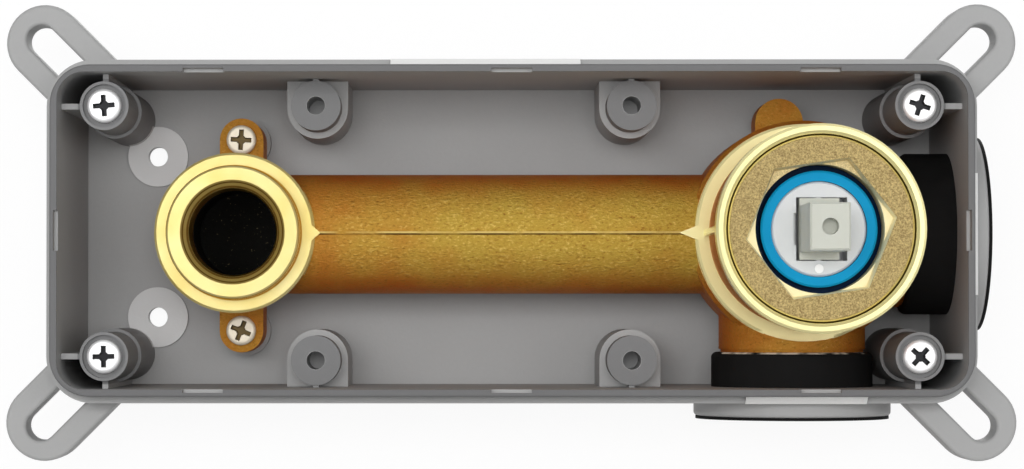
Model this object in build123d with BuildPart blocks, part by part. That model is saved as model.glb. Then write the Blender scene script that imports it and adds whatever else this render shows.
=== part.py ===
# In-wall body of a two-hole, single-lever basin faucet.
#
# An open-front moulded box is buried in the wall. It holds a cast brass body:
# a threaded outlet for the spout on the left, a crossover tube, and on the right
# a barrel that holds a ceramic cartridge under a hexagon-socket nut.
# Cold water enters through the right wall of the box and hot water through its floor side.
#
# Frame: X runs to the right, Z up, and Y into the wall. The origin is the centre
# of the back face, so everything in front of the wall side has a negative Y.
# Heights are measured from the back face towards the person at the basin.

import os
from math import cos, radians, sin, sqrt

from build123d import *

os.makedirs("parts", exist_ok=True)

# Box moulding
BOX_DEPTH = 58.0
CAVITY_WIDTH = 186.6
CAVITY_HEIGHT = 65.2
CAVITY_CORNER = 5.6
FLOOR_THICKNESS = 2.8
LIP_THICKNESS = 1.5
LIP_HEIGHT = 7.5
SHOULDER_STEP = 1.5
LIP_CORNER = 8.2
EDGE_ROUND = 0.5

# Shallow clip notches in the inside of the lip
NOTCH_LENGTH = 8.3
NOTCH_DEPTH = 0.7
NOTCH_DROP = 2.6
NOTCH_SPACING = 63.3

# Slotted fixing ears at the four corners
EAR_X = 98.0
EAR_Z = 39.9
EAR_RADIUS = 8.1
EAR_SETBACK = 17.4
EAR_THICKNESS = 9.0
EAR_SLOT_WIDTH = 6.2
EAR_SLOT_SHIFT = 1.1
EAR_REACH = 17.0
EAR_ROUND = 0.8

# Corner bosses that hold the trim screws
CORNER_BOSS_X = 84.1
CORNER_BOSS_Z = 25.9
CORNER_BOSS_RADIUS = 5.05
CORNER_BOSS_SINK = 5.0
CORNER_FOOT_RADIUS = 5.7
CORNER_FOOT_TOP = 33.0
CORNER_SEAT_DEPTH = 1.5
CORNER_RING_WIDTH = 0.6
CORNER_PILOT_DEPTH = 14.0
RIB_THICKNESS = 1.2
CORNER_RIB_DROP = 3.0

# Side bosses with blind holes for the trim plate
SIDE_BOSS_LEFT = -41.1
SIDE_BOSS_RIGHT = 25.6
SIDE_BOSS_Z = 26.9
SIDE_BOSS_RADIUS = 5.25
SIDE_BOSS_SINK = 20.0
SIDE_FOOT_RADIUS = 6.5
SIDE_BOSS_HEIGHT = 9.0
SIDE_HOLE_RADIUS = 1.95
SIDE_HOLE_DEPTH = 14.0

# Raised pads with holes in the floor of the box
FLOOR_PAD_X = -77.7
FLOOR_PAD_Z = 17.8
FLOOR_PAD_RADIUS = 6.65
FLOOR_PAD_HEIGHT = 1.0
FLOOR_HOLE_RADIUS = 2.15

# Brass casting
OUTLET_X = -58.2
PORT_SPACING = 120.0
WATERWAY_HEIGHT = 26.0
TUBE_RADIUS = 12.75
TUBE_BORE_RADIUS = 8.0
PARTING_RIDGE = 0.3
PARTING_WIDTH = 0.6
TUBE_FLARE = 5.0
FLASH_LENGTH = 3.4
FLASH_WIDTH = 3.2
OUTLET_FLASH_LENGTH = 1.3
BARREL_FIN = 1.0
BARREL_FIN_WIDTH = 1.2

OUTLET_COLLAR_RADIUS = 14.0
OUTLET_COLLAR_TOP = 44.9
OUTLET_FLANGE_RADIUS = 16.9
OUTLET_FLANGE_TOP = 39.5
OUTLET_FLANGE_THICKNESS = 4.2
OUTLET_BARREL_RADIUS = 15.0
OUTLET_BARREL_BACK = 11.0
OUTLET_FOOT_SLOPE = 3.0
FLANGE_SLOPE = 1.4
TURNED_EDGE = 0.5
FRONT_RING_SLOPE = 1.0
OUTLET_THREAD_DEPTH = 10.9
OUTLET_WELL_RADIUS = 9.0

THREAD_MINOR_RADIUS = 9.315
THREAD_MOUTH_RADIUS = 11.0
INLET_THREAD_DEPTH = 14.0

LUG_Z = 20.7
LUG_RADIUS = 4.75
LUG_TOP = 17.5
LUG_PAD_RADIUS = 5.6
LUG_PAD_TOP = 5.5
LUG_HOLE_RADIUS = 1.9
LUG_PILOT_FLOOR = 1.0

MIXER_FRONT_RING_RADIUS = 21.1
MIXER_FRONT_RING_HEIGHT = 4.6
MIXER_TOP = 72.0
MIXER_BARREL_RADIUS = 20.1
MIXER_SHOULDER_RADIUS = 22.9
MIXER_SHOULDER_TOP = 39.7
MIXER_SHOULDER_THICKNESS = 2.4
MIXER_BODY_RADIUS = 23.8
MIXER_BODY_BACK = 11.2
MIXER_BODY_ROUND = 3.0
MIXER_PAD_RADIUS = 11.9
BLANK_LUG_X = 58.3
BLANK_LUG_Z = 24.3
BLANK_LUG_RADIUS = 5.15
BLANK_LUG_TOP = 21.0

HOT_INLET_X = 60.4
INLET_RADIUS = 15.6
INLET_SPIGOT_RADIUS = 15.2
INLET_PROUD = 3.0
INLET_WATERWAY_RADIUS = 6.5
TUBE_BORE_LENGTH = 98.0
MOUTH_CHAMFER = 0.6

# Rubber sleeves and clamping rings where the inlets leave the box
SLEEVE_RADIUS = 17.2
HOT_SLEEVE_REACH = 7.4
COLD_SLEEVE_REACH = 9.7
SLEEVE_GAP = 0.6
SLEEVE_ROUND = 1.2
SLEEVE_LIP_RADIUS = 20.6
SLEEVE_LIP_THICKNESS = 0.6
RING_RADIUS = 21.0
RING_THICKNESS = 3.2
RING_ROUND = 0.9

# Cartridge and its nut
NUT_RADIUS = 19.0
NUT_RECESS = 0.4
NUT_THICKNESS = 8.0
NUT_BORE_RADIUS = 13.0
NUT_HEXAGON_FLATS = 26.5
NUT_HEXAGON_DEPTH = 2.5
NUT_HEXAGON_TURN = 8.4
NUT_HEXAGON_DRAFT = 10.0
NUT_FACE_CHAMFER = 0.7
THREAD_RUNOUT = 1.5
SLIP_RING_THICKNESS = 0.6

CARTRIDGE_RADIUS = 17.4
CAP_NECK_RADIUS = 11.8
CAP_NECK_HEIGHT = 4.2
CAP_ROOF_THICKNESS = 2.0
CAP_WALL = 2.2
MOULDED_EDGE = 0.4
ROTOR_FLANGE_THICKNESS = 1.9
ROTOR_SINK = 0.4
ROTOR_WALL = 2.2
COUPLER_THICKNESS = 4.0
COUPLER_RADIUS = 10.5
COUPLER_FLATS = 16.6
GUIDE_THICKNESS = 1.5
GUIDE_LENGTH = 14.0
GUIDE_DROP = 3.4
DISC_THICKNESS = 3.2
CARTRIDGE_BASE_THICKNESS = 6.0
DISC_PORT_RADIUS = 3.0
PORT_CIRCLE = 8.6
PORT_RADIUS = 3.0
SEAL_SECTION = 1.6
SEAL_OUTER_RADIUS = 4.6
FIXED_DISC_FLATS = 27.0
KEY_RADIUS = 1.4
KEY_LENGTH = 2.0
KEY_CIRCLE = 13.5
KEY_ANGLE = 60.0
ROTOR_FLANGE_RADIUS = 14.2
MIXING_POCKET_SHIFT = 1.7
MIXING_POCKET_LENGTH = 15.0
MIXING_POCKET_WIDTH = 13.0

WINDOW_LEFT = 4.6
WINDOW_RIGHT = 5.7
WINDOW_HEIGHT = 12.8
WINDOW_NOTCH = 0.5
WINDOW_NOTCH_HEIGHT = 6.4
MARK_PIP_RADIUS = 0.9
MARK_PIP_Z = -8.0
MARK_PIP_HEIGHT = 0.3
STEM_WIDTH = 8.0
STEM_HEIGHT = 9.4
STEM_ROOT_HEIGHT = 12.4
STEM_REACH = 20.7
STEM_CORE_RADIUS = 1.65
STEM_CORE_DEPTH = 4.0
PIVOT_SINK = 1.6
PIN_RADIUS = 1.2
ARM_LENGTH = 8.0
ARM_WIDTH = 2.0
ARM_NECK_RADIUS = 1.0
BALL_RADIUS = 1.8
BALL_CLEARANCE = 0.14
BALL_RELIEF = 1.0
STEM_ROOT_RISE = 1.0
PIN_LENGTH = 18.0

# Cross-recessed screws
CORNER_HEAD_RADIUS = 3.55
CORNER_HEAD_HEIGHT = 2.1
LUG_HEAD_RADIUS = 3.2
LUG_HEAD_HEIGHT = 1.9
HEAD_ROUND = 0.8
SCREW_SHANK_RADIUS = 1.45
CORNER_SHANK_LENGTH = 12.0
LUG_SHANK_LENGTH = 16.0
RECESS_SPAN = 4.5
RECESS_SLOT = 1.05
RECESS_DEPTH = 1.3
RECESS_DRAFT = 8.0
CORNER_SCREW_TURNS = (-18.0, 4.0, -42.0, 1.0)
LUG_SCREW_TURNS = (-3.0, -22.0)

# Clearances
THREAD_CLEARANCE = 0.08
SEAT_CLEARANCE = 0.05
RUNNING_CLEARANCE = 0.08
LOOSE_CLEARANCE = 0.2
SLEEVE_CLEARANCE = 0.1

# Places that follow from the sizes above
CAVITY_DEPTH = BOX_DEPTH - FLOOR_THICKNESS
CORNER_BOSS_TOP = BOX_DEPTH - CORNER_BOSS_SINK
SIDE_BOSS_TOP = BOX_DEPTH - SIDE_BOSS_SINK
SIDE_FOOT_TOP = SIDE_BOSS_TOP - SIDE_BOSS_HEIGHT
EAR_BACK = BOX_DEPTH - EAR_SETBACK - EAR_THICKNESS
LIP_WIDTH = CAVITY_WIDTH + 2 * LIP_THICKNESS
LIP_OUTER_HEIGHT = CAVITY_HEIGHT + 2 * LIP_THICKNESS
WALL_WIDTH = LIP_WIDTH + 2 * SHOULDER_STEP
WALL_OUTER_HEIGHT = LIP_OUTER_HEIGHT + 2 * SHOULDER_STEP
MIXER_X = OUTLET_X + PORT_SPACING
NUT_TOP = MIXER_TOP - NUT_RECESS
NUT_BOTTOM = NUT_TOP - NUT_THICKNESS
CAP_SHOULDER = NUT_BOTTOM - SLIP_RING_THICKNESS
CAP_TOP = CAP_SHOULDER + CAP_NECK_HEIGHT
CAP_ROOF = CAP_SHOULDER - CAP_ROOF_THICKNESS
ROTOR_TOP = CAP_TOP - ROTOR_SINK
ROTOR_FLANGE_TOP = CAP_ROOF - LOOSE_CLEARANCE / 2
ROTOR_FLANGE_BOTTOM = ROTOR_FLANGE_TOP - ROTOR_FLANGE_THICKNESS
COUPLER_TOP = ROTOR_FLANGE_BOTTOM - LOOSE_CLEARANCE
MOVING_DISC_TOP = COUPLER_TOP - COUPLER_THICKNESS
FIXED_DISC_TOP = MOVING_DISC_TOP - DISC_THICKNESS
BASE_TOP = FIXED_DISC_TOP - DISC_THICKNESS
CHAMBER_FLOOR = BASE_TOP - CARTRIDGE_BASE_THICKNESS
ROTOR_RADIUS = CAP_NECK_RADIUS - ROTOR_WALL
PIVOT_HEIGHT = ROTOR_TOP - PIVOT_SINK
BALL_HEIGHT = PIVOT_HEIGHT - ARM_LENGTH
CHAMBER_RADIUS = CARTRIDGE_RADIUS + LOOSE_CLEARANCE
THREAD_END = NUT_BOTTOM - THREAD_RUNOUT
port_places = [(MIXER_X, -PORT_CIRCLE), (MIXER_X + PORT_CIRCLE, 0), (MIXER_X - PORT_CIRCLE, 0)]
key_places = [
    (MIXER_X + side * KEY_CIRCLE * cos(radians(KEY_ANGLE)), KEY_CIRCLE * sin(radians(KEY_ANGLE)))
    for side in (1, -1)
]
COLD_END = WALL_WIDTH / 2 + INLET_PROUD
HOT_END = WALL_OUTER_HEIGHT / 2 + INLET_PROUD


def level(height):
    """Plane parallel to the wall, at a height in front of the back face."""
    return Plane.XZ.offset(height)


def section(x):
    """Half-section plane through an axis at x: local x is radius, local y is height."""
    return Plane(origin=(x, 0, 0), x_dir=(1, 0, 0), z_dir=(0, 0, -1))


def depth_axis(x):
    """Axis square to the wall, through x."""
    return Axis((x, 0, 0), (0, -1, 0))


def corners(x, z):
    """The same place in all four corners of the box."""
    return [(x, z), (-x, z), (x, -z), (-x, -z)]


# Box moulding, with the ears first so that their edges can be rounded alone
with BuildPart() as box_shell:
    for side_x, side_z in corners(1, 1):
        ear_turn = 45 * side_x * side_z
        half_length = EAR_REACH / 2
        slot_shift = EAR_SLOT_SHIFT / sqrt(2)
        with BuildSketch(level(EAR_BACK)):
            with Locations((side_x * (EAR_X - half_length), side_z * (EAR_Z - half_length))):
                SlotCenterToCenter(EAR_REACH * sqrt(2), 2 * EAR_RADIUS, rotation=ear_turn)
            slot_x = side_x * (EAR_X + slot_shift - half_length)
            slot_z = side_z * (EAR_Z + slot_shift - half_length)
            with Locations((slot_x, slot_z)):
                SlotCenterToCenter(
                    EAR_REACH * sqrt(2), EAR_SLOT_WIDTH, rotation=ear_turn, mode=Mode.SUBTRACT
                )
        extrude(amount=EAR_THICKNESS)
    fillet(box_shell.edges().filter_by(Plane.XZ), radius=EAR_ROUND)

    with BuildSketch(level(0)):
        RectangleRounded(WALL_WIDTH, WALL_OUTER_HEIGHT, LIP_CORNER + SHOULDER_STEP)
    extrude(amount=BOX_DEPTH - LIP_HEIGHT)
    with BuildSketch(level(BOX_DEPTH - LIP_HEIGHT)):
        RectangleRounded(LIP_WIDTH, LIP_OUTER_HEIGHT, LIP_CORNER)
    extrude(amount=LIP_HEIGHT)
    fillet(box_shell.faces().sort_by(Axis.Y)[0].edges(), radius=EDGE_ROUND)
    fillet(box_shell.faces().sort_by(Axis.Y)[-1].edges(), radius=EDGE_ROUND)

    with BuildSketch(level(FLOOR_THICKNESS)):
        RectangleRounded(CAVITY_WIDTH, CAVITY_HEIGHT, CAVITY_CORNER)
    extrude(amount=CAVITY_DEPTH, mode=Mode.SUBTRACT)

    with BuildSketch(level(BOX_DEPTH - NOTCH_DROP)):
        for notch_x in (-NOTCH_SPACING, 0, NOTCH_SPACING):
            with Locations((notch_x, 0)):
                Rectangle(NOTCH_LENGTH, CAVITY_HEIGHT + 2 * NOTCH_DEPTH)
        Rectangle(CAVITY_WIDTH + 2 * NOTCH_DEPTH, NOTCH_LENGTH)
    extrude(amount=NOTCH_DROP, mode=Mode.SUBTRACT)

    # Corner bosses, each on a wider foot, with a rib to both walls
    with BuildSketch(level(FLOOR_THICKNESS)):
        with Locations(corners(CORNER_BOSS_X, CORNER_BOSS_Z)):
            Circle(CORNER_FOOT_RADIUS)
    extrude(amount=CORNER_FOOT_TOP - FLOOR_THICKNESS)
    with BuildSketch(level(CORNER_FOOT_TOP)):
        with Locations(corners(CORNER_BOSS_X, CORNER_BOSS_Z)):
            Circle(CORNER_BOSS_RADIUS)
    extrude(amount=CORNER_BOSS_TOP - CORNER_FOOT_TOP)
    with BuildSketch(level(FLOOR_THICKNESS)):
        for side_x, side_z in corners(1, 1):
            rib_x = CAVITY_WIDTH / 2 - CORNER_BOSS_X
            rib_z = CAVITY_HEIGHT / 2 - CORNER_BOSS_Z
            with Locations((side_x * (CORNER_BOSS_X + rib_x / 2), side_z * CORNER_BOSS_Z)):
                Rectangle(rib_x, RIB_THICKNESS)
            with Locations((side_x * CORNER_BOSS_X, side_z * (CORNER_BOSS_Z + rib_z / 2))):
                Rectangle(RIB_THICKNESS, rib_z)
    extrude(amount=CORNER_BOSS_TOP - CORNER_RIB_DROP - FLOOR_THICKNESS)
    with BuildSketch(level(CORNER_BOSS_TOP)):
        with Locations(corners(CORNER_BOSS_X, CORNER_BOSS_Z)):
            Circle(CORNER_BOSS_RADIUS - CORNER_RING_WIDTH)
    extrude(amount=-CORNER_SEAT_DEPTH, mode=Mode.SUBTRACT)
    with BuildSketch(level(CORNER_BOSS_TOP)):
        with Locations(corners(CORNER_BOSS_X, CORNER_BOSS_Z)):
            Circle(SCREW_SHANK_RADIUS + SEAT_CLEARANCE)
    extrude(amount=-CORNER_PILOT_DEPTH, mode=Mode.SUBTRACT)

    # Side bosses on U-shaped feet that grow out of the long walls
    side_places = []
    for boss_x in (SIDE_BOSS_LEFT, SIDE_BOSS_RIGHT):
        side_places += [(boss_x, SIDE_BOSS_Z), (boss_x, -SIDE_BOSS_Z)]
    with BuildSketch(level(FLOOR_THICKNESS)):
        foot_depth = CAVITY_HEIGHT / 2 - SIDE_BOSS_Z
        for boss_x, boss_z in side_places:
            outward = 1 if boss_z > 0 else -1
            with Locations((boss_x, boss_z)):
                Circle(SIDE_FOOT_RADIUS)
            with Locations((boss_x, boss_z + outward * foot_depth / 2)):
                Rectangle(2 * SIDE_FOOT_RADIUS, foot_depth)
    extrude(amount=SIDE_FOOT_TOP - FLOOR_THICKNESS)
    with BuildSketch(level(SIDE_FOOT_TOP)):
        with Locations(side_places):
            Circle(SIDE_BOSS_RADIUS)
    extrude(amount=SIDE_BOSS_TOP - SIDE_FOOT_TOP)
    with BuildSketch(level(SIDE_FOOT_TOP)):
        for boss_x, boss_z in side_places:
            outward = 1 if boss_z > 0 else -1
            with Locations((boss_x, boss_z + outward * foot_depth / 2)):
                Rectangle(RIB_THICKNESS, foot_depth)
    extrude(amount=SIDE_BOSS_TOP - SIDE_FOOT_TOP - RIB_THICKNESS)
    with BuildSketch(level(SIDE_BOSS_TOP)):
        with Locations(side_places):
            Circle(SIDE_HOLE_RADIUS)
    extrude(amount=-SIDE_HOLE_DEPTH, mode=Mode.SUBTRACT)

    # Floor pads with through holes, and the pads that carry the outlet lugs
    with BuildSketch(level(FLOOR_THICKNESS)):
        with Locations((FLOOR_PAD_X, FLOOR_PAD_Z), (FLOOR_PAD_X, -FLOOR_PAD_Z)):
            Circle(FLOOR_PAD_RADIUS)
    extrude(amount=FLOOR_PAD_HEIGHT)
    with BuildSketch(level(FLOOR_THICKNESS)):
        with Locations((OUTLET_X, LUG_Z), (OUTLET_X, -LUG_Z)):
            Circle(LUG_PAD_RADIUS)
    extrude(amount=LUG_PAD_TOP - FLOOR_THICKNESS)
    with BuildSketch(level(FLOOR_THICKNESS)):
        with Locations((MIXER_X, 0)):
            Circle(MIXER_PAD_RADIUS)
    extrude(amount=MIXER_BODY_BACK - FLOOR_THICKNESS)
    with BuildSketch(level(0)):
        with Locations((FLOOR_PAD_X, FLOOR_PAD_Z), (FLOOR_PAD_X, -FLOOR_PAD_Z)):
            Circle(FLOOR_HOLE_RADIUS)
    extrude(amount=FLOOR_THICKNESS + FLOOR_PAD_HEIGHT, mode=Mode.SUBTRACT)
    with BuildSketch(level(LUG_PAD_TOP)):
        with Locations((OUTLET_X, LUG_Z), (OUTLET_X, -LUG_Z)):
            Circle(SCREW_SHANK_RADIUS + SEAT_CLEARANCE)
    extrude(amount=LUG_PILOT_FLOOR - LUG_PAD_TOP, mode=Mode.SUBTRACT)

    # Round openings for the two inlets
    with BuildSketch(Plane.YZ.offset(CAVITY_WIDTH / 2 - NOTCH_DEPTH)):
        with Locations((-WATERWAY_HEIGHT, 0)):
            Circle(SLEEVE_RADIUS + SLEEVE_CLEARANCE)
    extrude(amount=WALL_WIDTH / 2, mode=Mode.SUBTRACT)
    with BuildSketch(Plane.XY.offset(-CAVITY_HEIGHT / 2 + NOTCH_DEPTH)):
        with Locations((HOT_INLET_X, -WATERWAY_HEIGHT)):
            Circle(SLEEVE_RADIUS + SLEEVE_CLEARANCE)
    extrude(amount=-WALL_OUTER_HEIGHT / 2, mode=Mode.SUBTRACT)
box_shell.part.label = "box_shell"
export_step(box_shell.part, "parts/box_shell.step")


# Brass body: one casting, machined at the outlet, the barrel mouth and the inlets
with BuildPart() as valve_body:
    with BuildSketch(Plane.YZ.offset(OUTLET_X)):
        with Locations((-WATERWAY_HEIGHT, 0)):
            Circle(TUBE_RADIUS)
    extrude(amount=PORT_SPACING)

    flange_bottom = OUTLET_FLANGE_TOP - OUTLET_FLANGE_THICKNESS
    with BuildSketch(section(OUTLET_X)):
        with BuildLine():
            Polyline(
                (0, OUTLET_BARREL_BACK),
                (OUTLET_BARREL_RADIUS - OUTLET_FOOT_SLOPE, OUTLET_BARREL_BACK),
                (OUTLET_BARREL_RADIUS, OUTLET_BARREL_BACK + OUTLET_FOOT_SLOPE),
                (OUTLET_BARREL_RADIUS, flange_bottom - FLANGE_SLOPE),
                (OUTLET_FLANGE_RADIUS, flange_bottom),
                (OUTLET_FLANGE_RADIUS, OUTLET_FLANGE_TOP - TURNED_EDGE),
                (OUTLET_FLANGE_RADIUS - TURNED_EDGE, OUTLET_FLANGE_TOP),
                (OUTLET_COLLAR_RADIUS, OUTLET_FLANGE_TOP),
                (OUTLET_COLLAR_RADIUS, OUTLET_COLLAR_TOP - TURNED_EDGE),
                (OUTLET_COLLAR_RADIUS - TURNED_EDGE, OUTLET_COLLAR_TOP),
                (0, OUTLET_COLLAR_TOP),
                close=True,
            )
        make_face()
    revolve(axis=depth_axis(OUTLET_X))

    shoulder_bottom = MIXER_SHOULDER_TOP - MIXER_SHOULDER_THICKNESS
    ring_bottom = MIXER_TOP - MIXER_FRONT_RING_HEIGHT
    with BuildSketch(section(MIXER_X)):
        with BuildLine():
            Polyline(
                (0, MIXER_BODY_BACK),
                (MIXER_BODY_RADIUS - MIXER_BODY_ROUND, MIXER_BODY_BACK),
                (MIXER_BODY_RADIUS, MIXER_BODY_BACK + MIXER_BODY_ROUND),
                (MIXER_BODY_RADIUS, shoulder_bottom - FLANGE_SLOPE),
                (MIXER_SHOULDER_RADIUS, shoulder_bottom),
                (MIXER_SHOULDER_RADIUS, MIXER_SHOULDER_TOP - TURNED_EDGE),
                (MIXER_SHOULDER_RADIUS - TURNED_EDGE, MIXER_SHOULDER_TOP),
                (MIXER_BARREL_RADIUS, MIXER_SHOULDER_TOP),
                (MIXER_BARREL_RADIUS, ring_bottom - FRONT_RING_SLOPE),
                (MIXER_FRONT_RING_RADIUS, ring_bottom),
                (MIXER_FRONT_RING_RADIUS, MIXER_TOP - TURNED_EDGE),
                (MIXER_FRONT_RING_RADIUS - TURNED_EDGE, MIXER_TOP),
                (0, MIXER_TOP),
                close=True,
            )
        make_face()
    revolve(axis=depth_axis(MIXER_X))

    # Concave flare where the tube grows into the mixer body
    flare_radius = TUBE_RADIUS + TUBE_FLARE
    flare_end = MIXER_X - sqrt(MIXER_BODY_RADIUS**2 - flare_radius**2)
    with BuildSketch(Plane.XY):
        with BuildLine():
            ThreePointArc(
                (flare_end - TUBE_FLARE, -WATERWAY_HEIGHT - TUBE_RADIUS),
                (
                    flare_end - TUBE_FLARE * (1 - sin(radians(45))),
                    -WATERWAY_HEIGHT - flare_radius + TUBE_FLARE * cos(radians(45)),
                ),
                (flare_end, -WATERWAY_HEIGHT - flare_radius),
            )
            Polyline(
                (flare_end, -WATERWAY_HEIGHT - flare_radius),
                (MIXER_X, -WATERWAY_HEIGHT - flare_radius),
                (MIXER_X, -WATERWAY_HEIGHT),
                (flare_end - TUBE_FLARE, -WATERWAY_HEIGHT),
                (flare_end - TUBE_FLARE, -WATERWAY_HEIGHT - TUBE_RADIUS),
            )
        make_face()
    revolve(axis=Axis((MIXER_X, -WATERWAY_HEIGHT, 0), (1, 0, 0)))
    with BuildSketch(level(0)):
        with Locations((MIXER_X, 0)):
            Circle(MIXER_BODY_RADIUS)
    extrude(amount=MIXER_BODY_BACK, mode=Mode.SUBTRACT)

    # Inlets: cast stubs with a machined spigot inside the rubber sleeve
    stub_start = MIXER_PAD_RADIUS + LOOSE_CLEARANCE
    for plane, place, end, sleeve_start in (
        (
            Plane.YZ.offset(MIXER_X + stub_start),
            (-WATERWAY_HEIGHT, 0),
            COLD_END - MIXER_X,
            CAVITY_WIDTH / 2 - COLD_SLEEVE_REACH - MIXER_X,
        ),
        (
            -Plane.XY.offset(-stub_start),
            (HOT_INLET_X, WATERWAY_HEIGHT),
            HOT_END,
            CAVITY_HEIGHT / 2 - HOT_SLEEVE_REACH,
        ),
    ):
        with BuildSketch(plane):
            with Locations(place):
                Circle(INLET_RADIUS)
        extrude(amount=sleeve_start - SLEEVE_GAP - stub_start)
        with BuildSketch(plane):
            with Locations(place):
                Circle(INLET_SPIGOT_RADIUS)
        extrude(amount=end - stub_start)

    # Lugs
    with BuildSketch(level(LUG_PAD_TOP)):
        with Locations((OUTLET_X, LUG_Z), (OUTLET_X, -LUG_Z)):
            Circle(LUG_RADIUS)
        with Locations((OUTLET_X, 0)):
            Rectangle(2 * LUG_RADIUS, 2 * LUG_Z)
    extrude(amount=LUG_TOP - LUG_PAD_TOP)
    with BuildSketch(level(MIXER_BODY_BACK)):
        with Locations((BLANK_LUG_X, BLANK_LUG_Z)):
            Circle(BLANK_LUG_RADIUS)
        with Locations((BLANK_LUG_X, BLANK_LUG_Z / 2)):
            Rectangle(2 * BLANK_LUG_RADIUS, BLANK_LUG_Z)
    extrude(amount=BLANK_LUG_TOP - MIXER_BODY_BACK)

    # Parting line of the mould along the tube
    with BuildSketch(Plane.XY):
        with Locations(((OUTLET_X + MIXER_X) / 2, -WATERWAY_HEIGHT - TUBE_RADIUS / 2)):
            Rectangle(PORT_SPACING - 2 * MIXER_BARREL_RADIUS, TUBE_RADIUS + 2 * PARTING_RIDGE)
    extrude(amount=PARTING_WIDTH / 2, both=True)

    # The barrel and its shoulder ring are turned clear of the casting up to the ring's edge
    with BuildSketch(level(MIXER_SHOULDER_TOP)):
        with Locations((MIXER_X, 0)):
            Circle(MIXER_SHOULDER_RADIUS)
            Circle(MIXER_BARREL_RADIUS, mode=Mode.SUBTRACT)
    extrude(amount=ring_bottom - FRONT_RING_SLOPE - MIXER_SHOULDER_TOP, mode=Mode.SUBTRACT)

    # Flash left at the parting line: points on both flanges and a fin up the barrel
    for flash_x, way, flash_length, flash_top, flash_thickness in (
        (
            MIXER_X - MIXER_SHOULDER_RADIUS,
            -1,
            FLASH_LENGTH,
            MIXER_SHOULDER_TOP,
            MIXER_SHOULDER_THICKNESS,
        ),
        (
            OUTLET_X + OUTLET_FLANGE_RADIUS,
            1,
            OUTLET_FLASH_LENGTH,
            OUTLET_FLANGE_TOP,
            OUTLET_FLANGE_THICKNESS,
        ),
    ):
        with BuildSketch(level(flash_top)):
            with BuildLine():
                Polyline(
                    (flash_x + way * flash_length, 0),
                    (flash_x - way * PARTING_WIDTH, FLASH_WIDTH / 2),
                    (flash_x - way * PARTING_WIDTH, -FLASH_WIDTH / 2),
                    close=True,
                )
            make_face()
        extrude(amount=-flash_thickness)
    with BuildSketch(level(MIXER_SHOULDER_TOP)):
        with Locations((MIXER_X - MIXER_BARREL_RADIUS, 0)):
            Rectangle(2 * BARREL_FIN, BARREL_FIN_WIDTH)
    extrude(amount=ring_bottom - MIXER_SHOULDER_TOP)

    # Waterways
    with BuildSketch(section(OUTLET_X)):
        with BuildLine():
            Polyline(
                (0, OUTLET_COLLAR_TOP),
                (THREAD_MOUTH_RADIUS, OUTLET_COLLAR_TOP),
                (THREAD_MINOR_RADIUS, OUTLET_COLLAR_TOP - THREAD_MOUTH_RADIUS + THREAD_MINOR_RADIUS),
                (THREAD_MINOR_RADIUS, OUTLET_COLLAR_TOP - OUTLET_THREAD_DEPTH),
                (OUTLET_WELL_RADIUS, OUTLET_COLLAR_TOP - OUTLET_THREAD_DEPTH),
                (OUTLET_WELL_RADIUS, WATERWAY_HEIGHT - OUTLET_WELL_RADIUS),
                (0, WATERWAY_HEIGHT - OUTLET_WELL_RADIUS),
                close=True,
            )
        make_face()
    revolve(axis=depth_axis(OUTLET_X), mode=Mode.SUBTRACT)
    with BuildSketch(Plane.YZ.offset(OUTLET_X)):
        with Locations((-WATERWAY_HEIGHT, 0)):
            Circle(TUBE_BORE_RADIUS)
    extrude(amount=TUBE_BORE_LENGTH, mode=Mode.SUBTRACT)
    with BuildSketch(Plane.YZ.offset(OUTLET_X + TUBE_BORE_LENGTH)):
        with Locations((-WATERWAY_HEIGHT, 0)):
            Circle(INLET_WATERWAY_RADIUS)
    extrude(amount=PORT_SPACING - PORT_CIRCLE - TUBE_BORE_LENGTH, mode=Mode.SUBTRACT)
    for plane, place, end, bore_end in (
        (Plane.YZ, (-WATERWAY_HEIGHT, 0), COLD_END, MIXER_X + PORT_CIRCLE),
        (Plane.XY, (HOT_INLET_X, -WATERWAY_HEIGHT), -HOT_END, -PORT_CIRCLE),
    ):
        inward = -1 if end > 0 else 1
        mouth_depth = THREAD_MOUTH_RADIUS - THREAD_MINOR_RADIUS
        with BuildSketch(plane.offset(end)):
            with Locations(place):
                Circle(THREAD_MINOR_RADIUS)
        extrude(amount=inward * INLET_THREAD_DEPTH, mode=Mode.SUBTRACT)
        with BuildSketch(plane.offset(end)):
            with Locations(place):
                Circle(THREAD_MOUTH_RADIUS)
        with BuildSketch(plane.offset(end + inward * mouth_depth)):
            with Locations(place):
                Circle(THREAD_MINOR_RADIUS)
        loft(mode=Mode.SUBTRACT)
        with BuildSketch(plane.offset(end)):
            with Locations(place):
                Circle(INLET_WATERWAY_RADIUS)
        extrude(amount=bore_end - end, mode=Mode.SUBTRACT)
    with BuildSketch(level(WATERWAY_HEIGHT)):
        with Locations(port_places):
            Circle(PORT_RADIUS)
    extrude(amount=CHAMBER_FLOOR - WATERWAY_HEIGHT, mode=Mode.SUBTRACT)

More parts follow.
